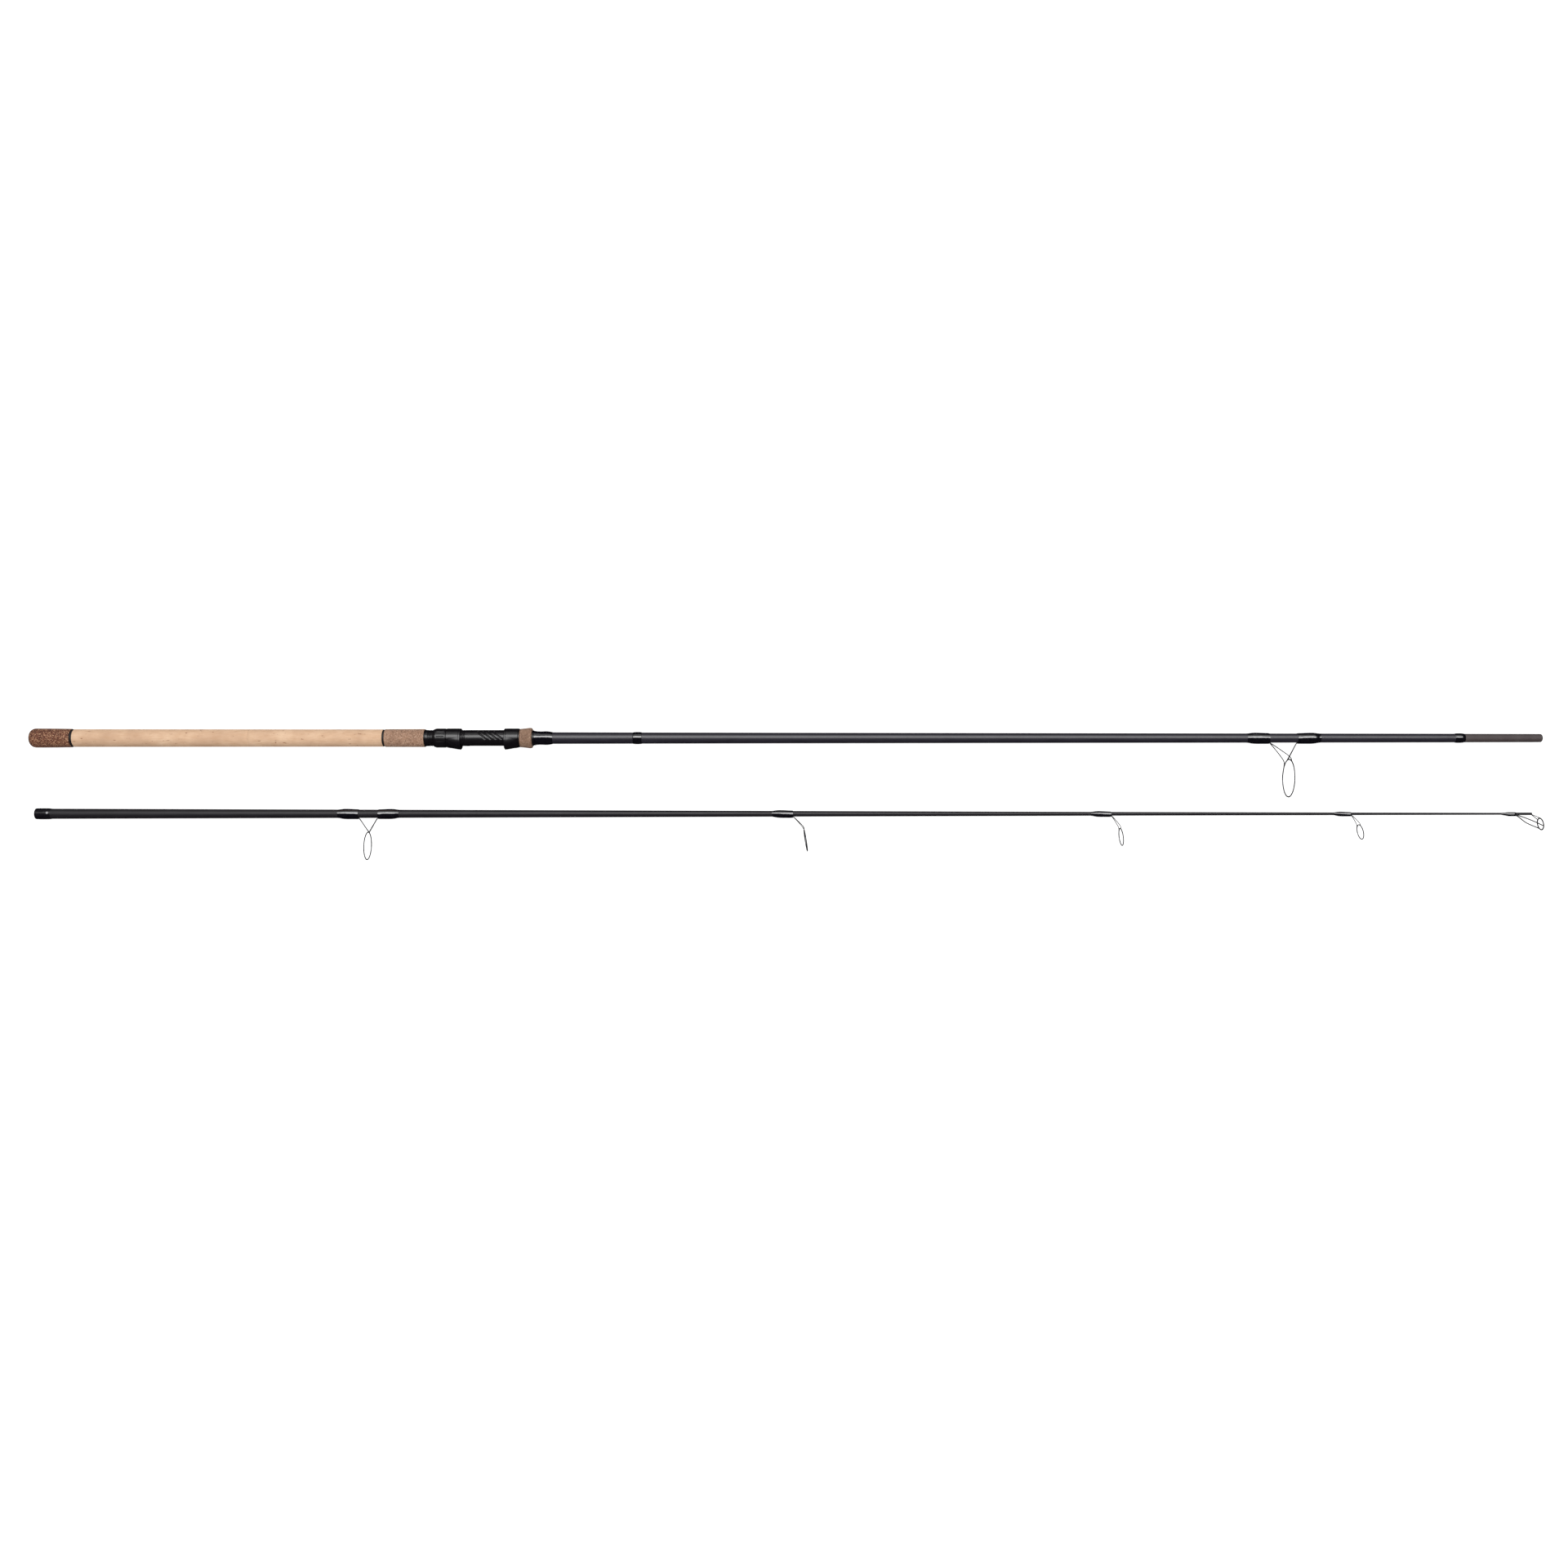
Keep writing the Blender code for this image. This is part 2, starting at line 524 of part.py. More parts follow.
def wrap(name, frame, table, thin_end, foot_end):
    """Whipping over a guide foot: swells over the foot's thick end."""
    blank = taper(table, min(thin_end, foot_end))
    corner = math.hypot(blank + FOOT_LIFT + FOOT_THICKNESS, FOOT_HALF_WIDTH)
    cover = corner / math.cos(STEP_ANGLE / 2) + 0.12
    spread = math.atan2(FOOT_HALF_WIDTH, blank) + STEP_ANGLE
    fade = math.radians(50)

    def outside(share, lift):
        base = blank + FIT + WRAP_THICKNESS * lift

        def radius(angle):
            away = min(max(abs(angle) - spread, 0) / fade, 1)
            return base + (cover + WRAP_COVER - base) * share * math.cos(away * math.pi / 2) ** 2
        return radius

    def inside(share):
        low = blank + FIT * 0.6
        return lambda angle: low + (cover - low) * share * (abs(angle) <= spread)

    length = foot_end - thin_end
    outer = [polar(outside(share, lift), thin_end + t * length) for t, share, lift in WRAP_OUTSIDE]
    inner = [polar(inside(share), thin_end + t * length) for t, share in WRAP_INSIDE]
    add(name, loft(outer + inner[::-1], closed=True), frame, WHIPPING)


def guide_set(name, frame, table):
    """One guide with its ring, its legs and the whipping over each foot."""
    guide = GUIDES[name]
    hoop = guide_ring(name, frame, guide, RING_SIDES[name])
    for side, leg in guide["legs"].items():
        label = f"{name}_{side}" if side else name
        guide_leg(label, frame, table, guide, hoop, leg)
        thin, thick = leg[:2]
        towards = 1 if thick > thin else -1
        wrap(label + "_wrap", frame, table, thin - WRAP_PAST_FOOT * towards, thick - WRAP_SHORT * towards)


def tip_top(frame):
    """Tube on the blank's end, with two short and two long wires to the ring."""
    hoop = guide_ring("tip_top", frame, TIP_TOP, TIP_TOP_SIDES)
    hoop_r = TIP_TOP["outer"] - TIP_TOP["wire"]
    bore = taper(TIP_BLANK, TUBE_START) + 0.08
    bore_end = TUBE_END - 1.6
    outer = [(TUBE_START, TUBE_R), (TUBE_END - 0.5, TUBE_R), (TUBE_END, TUBE_NOSE_R), (TUBE_END, 0)]
    inner = [(TUBE_START, bore), (bore_end, bore), (bore_end, 0)]
    boolean(hoop, turned("tip_tube", frame, outer, inner, None), "UNION")
    lie = TUBE_R + 0.1
    for side in (-1, 1):
        long_end = ring_point(TIP_TOP, hoop_r + 0.2, side * LONG_WIRE_ANGLE)
        start = Vector((lie, side * 0.7, TUBE_START + 0.6))
        bend = Vector((lie + 0.15, side * 0.75, TIP_WRAP_END + 0.8))
        boolean(hoop, wire("tip_long_wire", frame, (start, bend, long_end), TIP_WIRE), "UNION")
        short_end = ring_point(TIP_TOP, hoop_r + 0.15, side * SHORT_WIRE_ANGLE)
        start = Vector((0.8, side * 0.3, TUBE_END - 0.6))
        boolean(hoop, wire("tip_short_wire", frame, (start, short_end), TIP_WIRE), "UNION")


def tip_top_wrap(frame):
    """Whipping over the tube's rear end and the long wires lying on it."""
    hollow = math.radians(TIP_WRAP_HOLLOW)

    def outside(reach, base):
        return lambda angle: base + (reach - base) * max(0.0, math.cos(angle)) ** 2

    def inside(reach, base):
        return lambda angle: reach if abs(angle) < hollow else base

    outer = [polar(outside(reach, base), s) for s, reach, base in TIP_WRAP_OUTSIDE]
    inner = [polar(inside(reach, base), s) for s, reach, base in TIP_WRAP_INSIDE]
    add("tip_top_wrap", loft(outer + inner[::-1], closed=True), frame, WHIPPING)


def tip_blank(frame):
    """Hollow tip blank: ferrule socket at its rear end, solid towards the tip."""
    inner = [(0, SOCKET_MOUTH), (SOCKET_DEPTH, SOCKET_END)]
    inner += [(s, r - BLANK_WALL) for s, r in TIP_BLANK if SOCKET_DEPTH < s < TIP_BORE_END]
    inner += [(TIP_BORE_END, TIP_BORE_R), (TIP_BORE_END, 0)]
    turned("tip_blank", frame, TIP_BLANK + [(TIP_BLANK[-1][0], 0)], inner, CARBON)
    bore = [(s, SOCKET_WHIPPING_BORE) for s in (SOCKET_WHIPPING[0][0], SOCKET_WHIPPING[-1][0])]
    turned("socket_whipping", frame, SOCKET_WHIPPING, bore, WHIPPING)


clear_scene()
PARTS = collection("spinning_rod")
CUTTERS = collection("cutters")

butt_roll = roll_onto(GUIDES["guide_1"]["outer"], GUIDES["guide_1"]["reach"], BUTT_Z)
butt = section_frame("butt_axis", BUTT_START, BUTT_Y, BUTT_Z, butt_roll)
handle(butt)
sleeves(butt)
reel_seat(butt)
butt_blank(butt)
guide_set("guide_1", butt, BUTT_BLANK)

tip_roll = roll_onto(GUIDES["guide_2"]["outer"], GUIDES["guide_2"]["reach"], TIP_Z)
tip = section_frame("tip_axis", TIP_START, TIP_Y, TIP_Z, tip_roll)
tip_blank(tip)
for guide_name in ("guide_2", "guide_3", "guide_4", "guide_5"):
    guide_set(guide_name, tip, TIP_BLANK)
tip_top(tip)
tip_top_wrap(tip)
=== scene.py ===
"""Visual model of a two-piece spinning rod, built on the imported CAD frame.

Both sections are modelled in their own frame, in millimetres: z is the station along the
blank from the section's rear end, x points from the blank to the guide rings.
"""

import math

import bmesh
import bpy
from mathutils import Matrix, Vector

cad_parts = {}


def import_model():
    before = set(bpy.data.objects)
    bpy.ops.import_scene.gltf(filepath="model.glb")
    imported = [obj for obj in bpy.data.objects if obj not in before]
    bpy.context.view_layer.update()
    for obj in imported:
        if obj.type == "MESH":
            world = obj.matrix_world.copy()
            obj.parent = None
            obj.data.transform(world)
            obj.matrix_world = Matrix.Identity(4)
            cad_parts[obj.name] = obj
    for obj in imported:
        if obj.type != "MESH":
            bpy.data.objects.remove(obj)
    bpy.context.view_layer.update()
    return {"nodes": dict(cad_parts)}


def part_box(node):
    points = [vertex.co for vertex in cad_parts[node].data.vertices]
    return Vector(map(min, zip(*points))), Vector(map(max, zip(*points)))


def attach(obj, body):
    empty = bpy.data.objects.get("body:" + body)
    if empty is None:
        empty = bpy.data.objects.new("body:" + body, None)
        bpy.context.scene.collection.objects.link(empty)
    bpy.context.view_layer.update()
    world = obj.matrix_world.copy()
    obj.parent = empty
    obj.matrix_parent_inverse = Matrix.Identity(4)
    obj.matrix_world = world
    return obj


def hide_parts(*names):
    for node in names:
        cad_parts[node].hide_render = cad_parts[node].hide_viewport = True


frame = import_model()

MM = 0.001
TURN = 2 * math.pi
ROUND = 72                       # segments round a turned piece


# ------------------------------------------------------------ places from the frame

def middle(node):
    """Centre of a CAD node's box."""
    low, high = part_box(node)
    return (low + high) / 2


def section_frame(blank, rear_node, ring_node):
    """Section's matrix: on the blank's axis at its rear end, x towards the rings."""
    axis = middle(blank)
    ring = middle(ring_node)
    roll = math.atan2(ring.z - axis.z, axis.y - ring.y)
    along = Vector((1, 0, 0))
    arm = Vector((0, -math.cos(roll), math.sin(roll)))
    basis = Matrix((arm, along.cross(arm), along)).transposed()
    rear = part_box(rear_node)[0].x
    return Matrix.Translation((rear, axis.y, axis.z)) @ basis.to_4x4()


BUTT = section_frame("butt_blank", "butt_end_button", "guide_1_insert")
TIP = section_frame("tip_blank", "tip_blank", "guide_2_insert")


# -------------------------------------------------------------------- materials

BARE_FROM = 1755.0               # station where the male ferrule's bare carbon starts, mm
DOT_STATION, DOT_RADIUS, DOT_SIZE, DOT_TURN = 15.8, 6.8, 1.4, -86.7


def linear(colour):
    """sRGB colour in 0-255 as a linear RGBA."""
    values = []
    for value in colour:
        value /= 255
        values.append(value / 12.92 if value <= 0.04045 else ((value + 0.055) / 1.055) ** 2.4)
    return (*values, 1)


class Paint:
    """One material's node tree. Its methods add nodes and return their outputs."""

    def __init__(self, name):
        self.material = bpy.data.materials.new(name)
        self.material.use_nodes = True
        self.tree = self.material.node_tree
        self.shader = self.tree.nodes["Principled BSDF"]
        self.coords = self.tree.nodes.new("ShaderNodeTexCoord").outputs["Object"]

    def set(self, **values):
        """Set the shader's own sockets."""
        for key, value in values.items():
            self.shader.inputs[key.replace("_", " ")].default_value = value

    def link(self, source, target):
        self.tree.links.new(source, target)

    def stretched(self, stretch):
        """Object coordinates, scaled along each axis."""
        node = self.tree.nodes.new("ShaderNodeMapping")
        node.inputs["Scale"].default_value = stretch
        self.link(self.coords, node.inputs["Vector"])
        return node.outputs["Vector"]

    def noise(self, scale, detail=2.0, stretch=(1, 1, 1), roughness=0.5):
        node = self.tree.nodes.new("ShaderNodeTexNoise")
        node.inputs["Scale"].default_value = scale
        node.inputs["Detail"].default_value = detail
        node.inputs["Roughness"].default_value = roughness
        self.link(self.stretched(stretch), node.inputs["Vector"])
        return node.outputs["Fac"]

    def cells(self, scale):
        """A random value in each small cell."""
        node = self.tree.nodes.new("ShaderNodeTexVoronoi")
        node.inputs["Scale"].default_value = scale
        self.link(self.coords, node.inputs["Vector"])
        split = self.tree.nodes.new("ShaderNodeSeparateColor")
        self.link(node.outputs["Color"], split.inputs["Color"])
        return split.outputs["Red"]

    def bands(self, scale):
        """Even bands round the rod."""
        node = self.tree.nodes.new("ShaderNodeTexWave")
        node.wave_type = "BANDS"
        node.bands_direction = "X"
        node.inputs["Scale"].default_value = scale
        self.link(self.coords, node.inputs["Vector"])
        return node.outputs["Fac"]

    def along(self):
        """Place along the rod, in metres."""
        node = self.tree.nodes.new("ShaderNodeSeparateXYZ")
        self.link(self.coords, node.inputs["Vector"])
        return node.outputs["X"]

    def ramp(self, value, stops):
        """Colour ramp; its stops are (position, sRGB colour) or (position, linear RGBA)."""
        node = self.tree.nodes.new("ShaderNodeValToRGB")
        elements = node.color_ramp.elements
        while len(elements) < len(stops):
            elements.new(0.5)
        for element, (position, colour) in zip(elements, stops):
            element.position = position
            element.color = colour if len(colour) == 4 else linear(colour)
        self.link(value, node.inputs["Fac"])
        return node.outputs["Color"]

    def step(self, value, low, high):
        """Black below low, white above high."""
        return self.ramp(value, [(low, (0, 0, 0, 1)), (high, (1, 1, 1, 1))])

    def remap(self, value, low, high):
        """low where value is 0, high where it is 1."""
        node = self.tree.nodes.new("ShaderNodeMapRange")
        node.inputs["To Min"].default_value = low
        node.inputs["To Max"].default_value = high
        self.link(value, node.inputs["Value"])
        return node.outputs["Result"]

    def span(self, value, start, end):
        """0 below start, 1 above end."""
        node = self.tree.nodes.new("ShaderNodeMapRange")
        node.inputs["From Min"].default_value = start
        node.inputs["From Max"].default_value = end
        self.link(value, node.inputs["Value"])
        return node.outputs["Result"]

    def mix(self, factor, first, second):
        """From first to second, each an output or an sRGB colour."""
        node = self.tree.nodes.new("ShaderNodeMix")
        node.data_type = "RGBA"
        self.link(factor, node.inputs["Factor"])
        for socket, value in (("A", first), ("B", second)):
            target = [item for item in node.inputs if item.name == socket and item.type == "RGBA"][0]
            if isinstance(value, tuple):
                target.default_value = linear(value)
            else:
                self.link(value, target)
        return [item for item in node.outputs if item.type == "RGBA"][0]

    def near(self, point, radius):
        """1 within a radius of a point, 0 outside it."""
        node = self.tree.nodes.new("ShaderNodeVectorMath")
        node.operation = "DISTANCE"
        node.inputs[1].default_value = point
        self.link(self.coords, node.inputs[0])
        return self.remap(self.span(node.outputs["Value"], radius * 0.9, radius * 1.1), 1, 0)

    def colour(self, source):
        """Use an output as the base colour."""
        self.link(source, self.shader.inputs["Base Color"])

    def rough(self, value, low, high):
        """Roughness from low to high as the value goes from 0 to 1."""
        self.link(self.remap(value, low, high), self.shader.inputs["Roughness"])

    def bump(self, height, depth):
        """Bump whose full height is `depth` metres."""
        node = self.tree.nodes.new("ShaderNodeBump")
        node.inputs["Distance"].default_value = depth
        self.link(height, node.inputs["Height"])
        self.link(node.outputs["Normal"], self.shader.inputs["Normal"])


def cork():
    """Sanded natural cork: soft clouds, fine streaks along the grip and a few dark pits."""
    paint = Paint("natural_cork")
    clouds = paint.noise(scale=38, detail=3)
    tone = paint.ramp(clouds, [(0.3, (168, 138, 113)), (0.5, (179, 149, 123)), (0.72, (189, 161, 135))])
    streak = paint.noise(scale=420, detail=3, stretch=(0.22, 1, 1), roughness=0.65)
    streak_mask = paint.remap(paint.step(streak, 0.42, 0.75), 0, 0.55)
    tone = paint.mix(streak_mask, tone, (164, 130, 100))
    pits = paint.noise(scale=230, detail=3, stretch=(0.55, 1.5, 1.5), roughness=0.6)
    paint.colour(paint.mix(paint.step(pits, 0.655, 0.70), tone, (128, 92, 68)))
    paint.set(Specular_IOR_Level=0.2)
    paint.rough(streak, 0.7, 0.9)
    paint.bump(paint.ramp(pits, [(0.62, (1, 1, 1, 1)), (0.70, (0, 0, 0, 1))]), 0.0002)
    return paint.material


def granules(name, clouds, stops, light, dark, bump_depth):
    """Pressed cork granules; light and dark are (cell scale, low, high, colour)."""
    paint = Paint(name)
    tone = paint.ramp(paint.noise(scale=clouds, detail=3), stops)
    specks = paint.cells(light[0])
    tone = paint.mix(paint.step(specks, light[1], light[2]), tone, light[3])
    tone = paint.mix(paint.step(paint.cells(dark[0]), dark[1], dark[2]), tone, dark[3])
    paint.colour(tone)
    paint.set(Specular_IOR_Level=0.2)
    paint.bump(specks, bump_depth)
    return paint


def cap_cork():
    """Red-brown burl with tan specks."""
    stops = [(0.3, (76, 44, 32)), (0.55, (89, 54, 40)), (0.75, (103, 67, 51))]
    paint = granules("red_burl", 200, stops, (1250, 0.68, 0.82, (152, 116, 90)),
                     (1000, 0.72, 0.86, (62, 36, 28)), 0.00008)
    paint.rough(paint.noise(scale=500), 0.65, 0.85)
    return paint.material


def rubber_cork(name, share):
    """Cork granules in rubber; share dims all its colours."""
    def shade(*colour):
        return tuple(value * share for value in colour)

    stops = [(0.3, shade(122, 94, 77)), (0.55, shade(133, 104, 85)), (0.75, shade(143, 114, 94))]
    paint = granules(name, 150, stops, (1300, 0.74, 0.88, shade(156, 129, 110)),
                     (1100, 0.76, 0.9, shade(102, 78, 64)), 0.00006)
    paint.rough(paint.noise(scale=500), 0.7, 0.9)
    return paint.material


def rubber():
    """Dull black rubber."""
    paint = Paint("black_rubber")
    grain = paint.noise(scale=1200, detail=3)
    paint.colour(paint.ramp(grain, [(0.3, (14, 12, 12)), (0.7, (24, 21, 21))]))
    paint.set(Specular_IOR_Level=0.3)
    paint.rough(grain, 0.5, 0.7)
    paint.bump(grain, 0.00003)
    return paint.material


def seat_plastic():
    """Satin black moulded plastic."""
    paint = Paint("black_seat")
    grain = paint.noise(scale=1500)
    paint.colour(paint.ramp(paint.noise(scale=80, detail=3), [(0.3, (8, 6, 8)), (0.7, (14, 12, 15))]))
    paint.rough(grain, 0.26, 0.36)
    paint.bump(grain, 0.000006)
    return paint.material


def lacquered_carbon(name, shine, thin, thick):
    """Satin black lacquer over carbon cloth: the paint and its colour."""
    paint = Paint(name)
    cloth = paint.noise(scale=260, detail=3, stretch=(0.15, 1, 1))
    paint.set(Specular_IOR_Level=shine)
    paint.bump(paint.noise(scale=1400, stretch=(0.3, 1, 1)), 0.000004)
    return paint, paint.ramp(cloth, [(0.3, thick), (0.7, thin)])


def butt_carbon():
    """Lacquered, then bare and sanded beyond the binding of the male ferrule."""
    paint, lacquer = lacquered_carbon("butt_carbon", 0.62, (31, 29, 37), (24, 22, 29))
    tape = paint.noise(scale=60, stretch=(1, 0.2, 0.2))
    bare = paint.ramp(tape, [(0.3, (48, 39, 40)), (0.7, (58, 51, 51))])
    start = BUTT.translation.x + BARE_FROM * MM
    end = paint.span(paint.along(), start, start + 0.6 * MM)
    paint.colour(paint.mix(end, lacquer, bare))
    paint.rough(end, 0.41, 0.75)
    return paint.material


def tip_carbon():
    """Lacquered, and duller towards the joint."""
    paint, lacquer = lacquered_carbon("tip_carbon", 0.32, (24, 22, 26), (18, 16, 19))
    paint.colour(lacquer)
    start = TIP.translation.x
    paint.rough(paint.span(paint.along(), start, start + 800 * MM), 0.56, 0.4)
    return paint.material


def whipping(name, ior, smoothest, roughest):
    """Black thread under clear lacquer, with one plain pale dot for lining up the joint."""
    paint = Paint(name)
    thread = paint.ramp(paint.noise(scale=300), [(0.3, (7, 6, 10)), (0.7, (13, 12, 17))])
    turn = math.radians(DOT_TURN)
    dot = TIP @ (Vector((DOT_RADIUS * math.cos(turn), DOT_RADIUS * math.sin(turn), DOT_STATION)) * MM)
    paint.colour(paint.mix(paint.near(dot, DOT_SIZE * MM), thread, (128, 128, 130)))
    paint.set(IOR=ior)
    paint.rough(paint.bands(560), smoothest, roughest)
    paint.bump(paint.noise(scale=130, stretch=(0.7, 1, 1)), 0.0004)
    return paint.material


def guide_wire():
    """Black-plated steel wire."""
    paint = Paint("guide_wire")
    grain = paint.noise(scale=700)
    paint.colour(paint.ramp(grain, [(0.3, (38, 37, 39)), (0.7, (58, 57, 60))]))
    paint.set(Metallic=0.7)
    paint.rough(grain, 0.3, 0.45)
    return paint.material


def ceramic():
    """Polished dark ceramic."""
    paint = Paint("ring_ceramic")
    grain = paint.noise(scale=500)
    paint.colour(paint.ramp(grain, [(0.3, (30, 30, 32)), (0.7, (44, 44, 47))]))
    paint.rough(grain, 0.12, 0.22)
    return paint.material


def arbor():
    """Pale foam of the spacers inside the reel seat."""
    paint = Paint("arbor_foam")
    grain = paint.noise(scale=800, detail=3)
    paint.colour(paint.ramp(grain, [(0.3, (176, 172, 160)), (0.7, (205, 202, 192))]))
    paint.rough(grain, 0.8, 0.95)
    return paint.material


MATERIALS = {
    "cork": cork(),
    "cap_cork": cap_cork(),
    "rubber_cork": rubber_cork("rubber_cork", 1.0),
    "black_rubber": rubber(),
    "seat_plastic": seat_plastic(),
    "carbon_blank": butt_carbon(),
    "whipping": whipping("lacquered_thread", 1.75, 0.05, 0.11),
    "guide_wire": guide_wire(),
    "ring_ceramic": ceramic(),
    "arbor": arbor(),
}
FRONT_CORK = rubber_cork("dark_rubber_cork", 0.87)
TIP_CARBON = tip_carbon()
THIN_LACQUER = whipping("thinly_lacquered_thread", 1.28, 0.25, 0.4)


# --------------------------------------------------------------------- shapes

SHARP_ANGLE = 38                 # edges that bend by more degrees stay crisp
AXIS_R = 0.02                    # stands for radius 0, where a turned piece closes
WIRE_SIDES = 12


def piece(name, section, shapes, body, slot, *nodes, material=None):
    """Make one object from (points, faces) shapes, in a section's frame.

    It wears the material of its slot, unless another one is given.
    """
    points, faces = [], []
    for shape_points, shape_faces in shapes:
        offset = len(points)
        points += [tuple(value * MM for value in point) for point in shape_points]
        faces += [tuple(index + offset for index in face) for face in shape_faces]
    mesh = bpy.data.meshes.new(name)
    mesh.from_pydata(points, [], faces)
    mesh.transform(section)
    bm = bmesh.new()
    bm.from_mesh(mesh)
    bmesh.ops.recalc_face_normals(bm, faces=bm.faces)
    bm.to_mesh(mesh)
    bm.free()
    mesh.shade_smooth()
    mesh.set_sharp_from_angle(angle=math.radians(SHARP_ANGLE))
    mesh.materials.append(material or MATERIALS[slot])
    obj = bpy.data.objects.new(name, mesh)
    bpy.context.scene.collection.objects.link(obj)
    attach(obj, body)
    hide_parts(*nodes)
    return obj


def skin(rings, loop=False):
    """Faces through rings of equal counts; a loop joins the last ring to the first, otherwise
    the first and the last ring are closed with a face each."""
    count = len(rings[0])
    last = len(rings) - 1
    points = [point for ring in rings for point in ring]
    pairs = [(k, k + 1) for k in range(last)]
    if loop:
        pairs.append((last, 0))
    faces = []
    for a, b in pairs:
        for i in range(count):
            j = (i + 1) % count
            faces.append((a * count + i, a * count + j, b * count + j, b * count + i))
    if not loop:
        faces.append(tuple(range(count)))
        faces.append(tuple(last * count + i for i in range(count)))
    return points, faces


def circle(radius, station, sides=ROUND):
    """Round ring of points about the axis."""
    angles = [TURN * k / sides for k in range(sides)]
    return [(radius * math.cos(angle), radius * math.sin(angle), station) for angle in angles]


def polar(radius_at, station, sides):
    """Ring with radius_at(angle) from the guide side, angle in -pi..pi."""
    ring = []
    for k in range(sides):
        angle = TURN * k / sides
        if angle > math.pi:
            angle -= TURN
        radius = radius_at(angle)
        ring.append((radius * math.cos(angle), radius * math.sin(angle), station))
    return ring


def fillet(profile, radius):
    """Round the inner corners of a (station, radius) line."""
    steps = 4
    line = [Vector(point) for point in profile]
    rounded = [line[0]]
    for before, corner, after in zip(line, line[1:], line[2:]):
        to_before = before - corner
        to_after = after - corner
        cut = min(radius, to_before.length * 0.49, to_after.length * 0.49)
        start = corner + to_before.normalized() * cut
        end = corner + to_after.normalized() * cut
        for k in range(steps + 1):
            t = k / steps
            rounded.append(start * (1 - t) ** 2 + corner * 2 * t * (1 - t) + end * t ** 2)
    rounded.append(line[-1])
    return [tuple(point) for point in rounded]


def turned(profile, bore=None, round_off=0.0, sides=ROUND):
    """Turned solid; with a bore it is a sleeve, otherwise it closes on the axis."""
    if round_off:
        profile = fillet(profile, round_off)
    rings = [circle(max(radius, AXIS_R), station, sides) for station, radius in profile]
    if bore is None:
        return skin(rings)
    inner = [circle(bore, station, sides) for station in (profile[-1][0], profile[0][0])]
    return skin(rings + inner, loop=True)


def smooth(value, low, high):
    """Soft step from 0 at low to 1 at high."""
    t = min(max((value - low) / (high - low), 0.0), 1.0)
    return t * t * (3 - 2 * t)


def curved(points, steps):
    """Smooth line through the points, with so many steps between two of them."""
    knots = [points[0] * 2 - points[1]] + list(points) + [points[-1] * 2 - points[-2]]
    line = []
    for a, b, c, d in zip(knots, knots[1:], knots[2:], knots[3:]):
        for k in range(steps):
            t = k / steps
            line.append(0.5 * (b * 2 + (c - a) * t + (a * 2 - b * 5 + c * 4 - d) * t ** 2
                               + (b * 3 - a - c * 3 + d) * t ** 3))
    line.append(points[-1])
    return line


def tube(path, radius):
    """Round wire along a path."""
    rings = []
    normal = None
    for k, point in enumerate(path):
        ahead = path[min(k + 1, len(path) - 1)]
        behind = path[max(k - 1, 0)]
        direction = (ahead - behind).normalized()
        if normal is None:
            normal = direction.orthogonal().normalized()
        normal = (normal - direction * normal.dot(direction)).normalized()
        side = direction.cross(normal)
        ring = []
        for corner in range(WIRE_SIDES):
            angle = TURN * corner / WIRE_SIDES
            ring.append(tuple(point + (normal * math.cos(angle) + side * math.sin(angle)) * radius))
        rings.append(ring)
    return skin(rings)


def taper(table, station):
    """Radius of a blank at a station, from its (station, radius) table."""
    for (start, start_r), (end, end_r) in zip(table, table[1:]):
        if station <= end:
            return start_r + (end_r - start_r) * (station - start) / (end - start)
    return table[-1][1]


# --------------------------------------------------------------------- handle

BUTTON_R, BUTTON_END = 4.7, 2.2  # flat end of the button, and its seam with the cap
CAP_CORNER = 7.0
GRIP_BORE = 7.4


def button_and_cap():
    """Rubber button and burl cap, which share one rounded corner."""
    angles = [math.radians(5 * k) for k in range(19)]
    corner = [(CAP_CORNER - CAP_CORNER * math.cos(angle), BUTTON_R + CAP_CORNER * math.sin(angle))
              for angle in angles]
    button = [(0, 0)] + [point for point in corner if point[0] < BUTTON_END]
    button += [(BUTTON_END, button[-1][1] + 0.3), (BUTTON_END, 0)]
    piece("end_button", BUTT, [turned(button)], "butt_section", "black_rubber", "butt_end_button")
    rest = [point for point in corner if point[0] > BUTTON_END]
    start = BUTTON_END + 0.1
    cap = [(start, 0), (start, rest[0][1] - 0.2)] + rest
    cap += [(30, 11.6), (50.6, 11.3), (51, 11.0), (51, 0)]
    piece("handle_cap", BUTT, [turned(cap)], "butt_section", "cap_cork", "butt_cap")


def grip(name, node, profile, slot, edge=0.4, material=None):
    """Sleeve on the butt blank with rounded edges."""
    rear, front = profile[0][0], profile[-1][0]
    outline = [(rear, GRIP_BORE + 0.1)] + profile + [(front, GRIP_BORE + 0.1)]
    shape = turned(outline, GRIP_BORE, edge)
    piece(name, BUTT, [shape], "butt_section", slot, node, material=material)


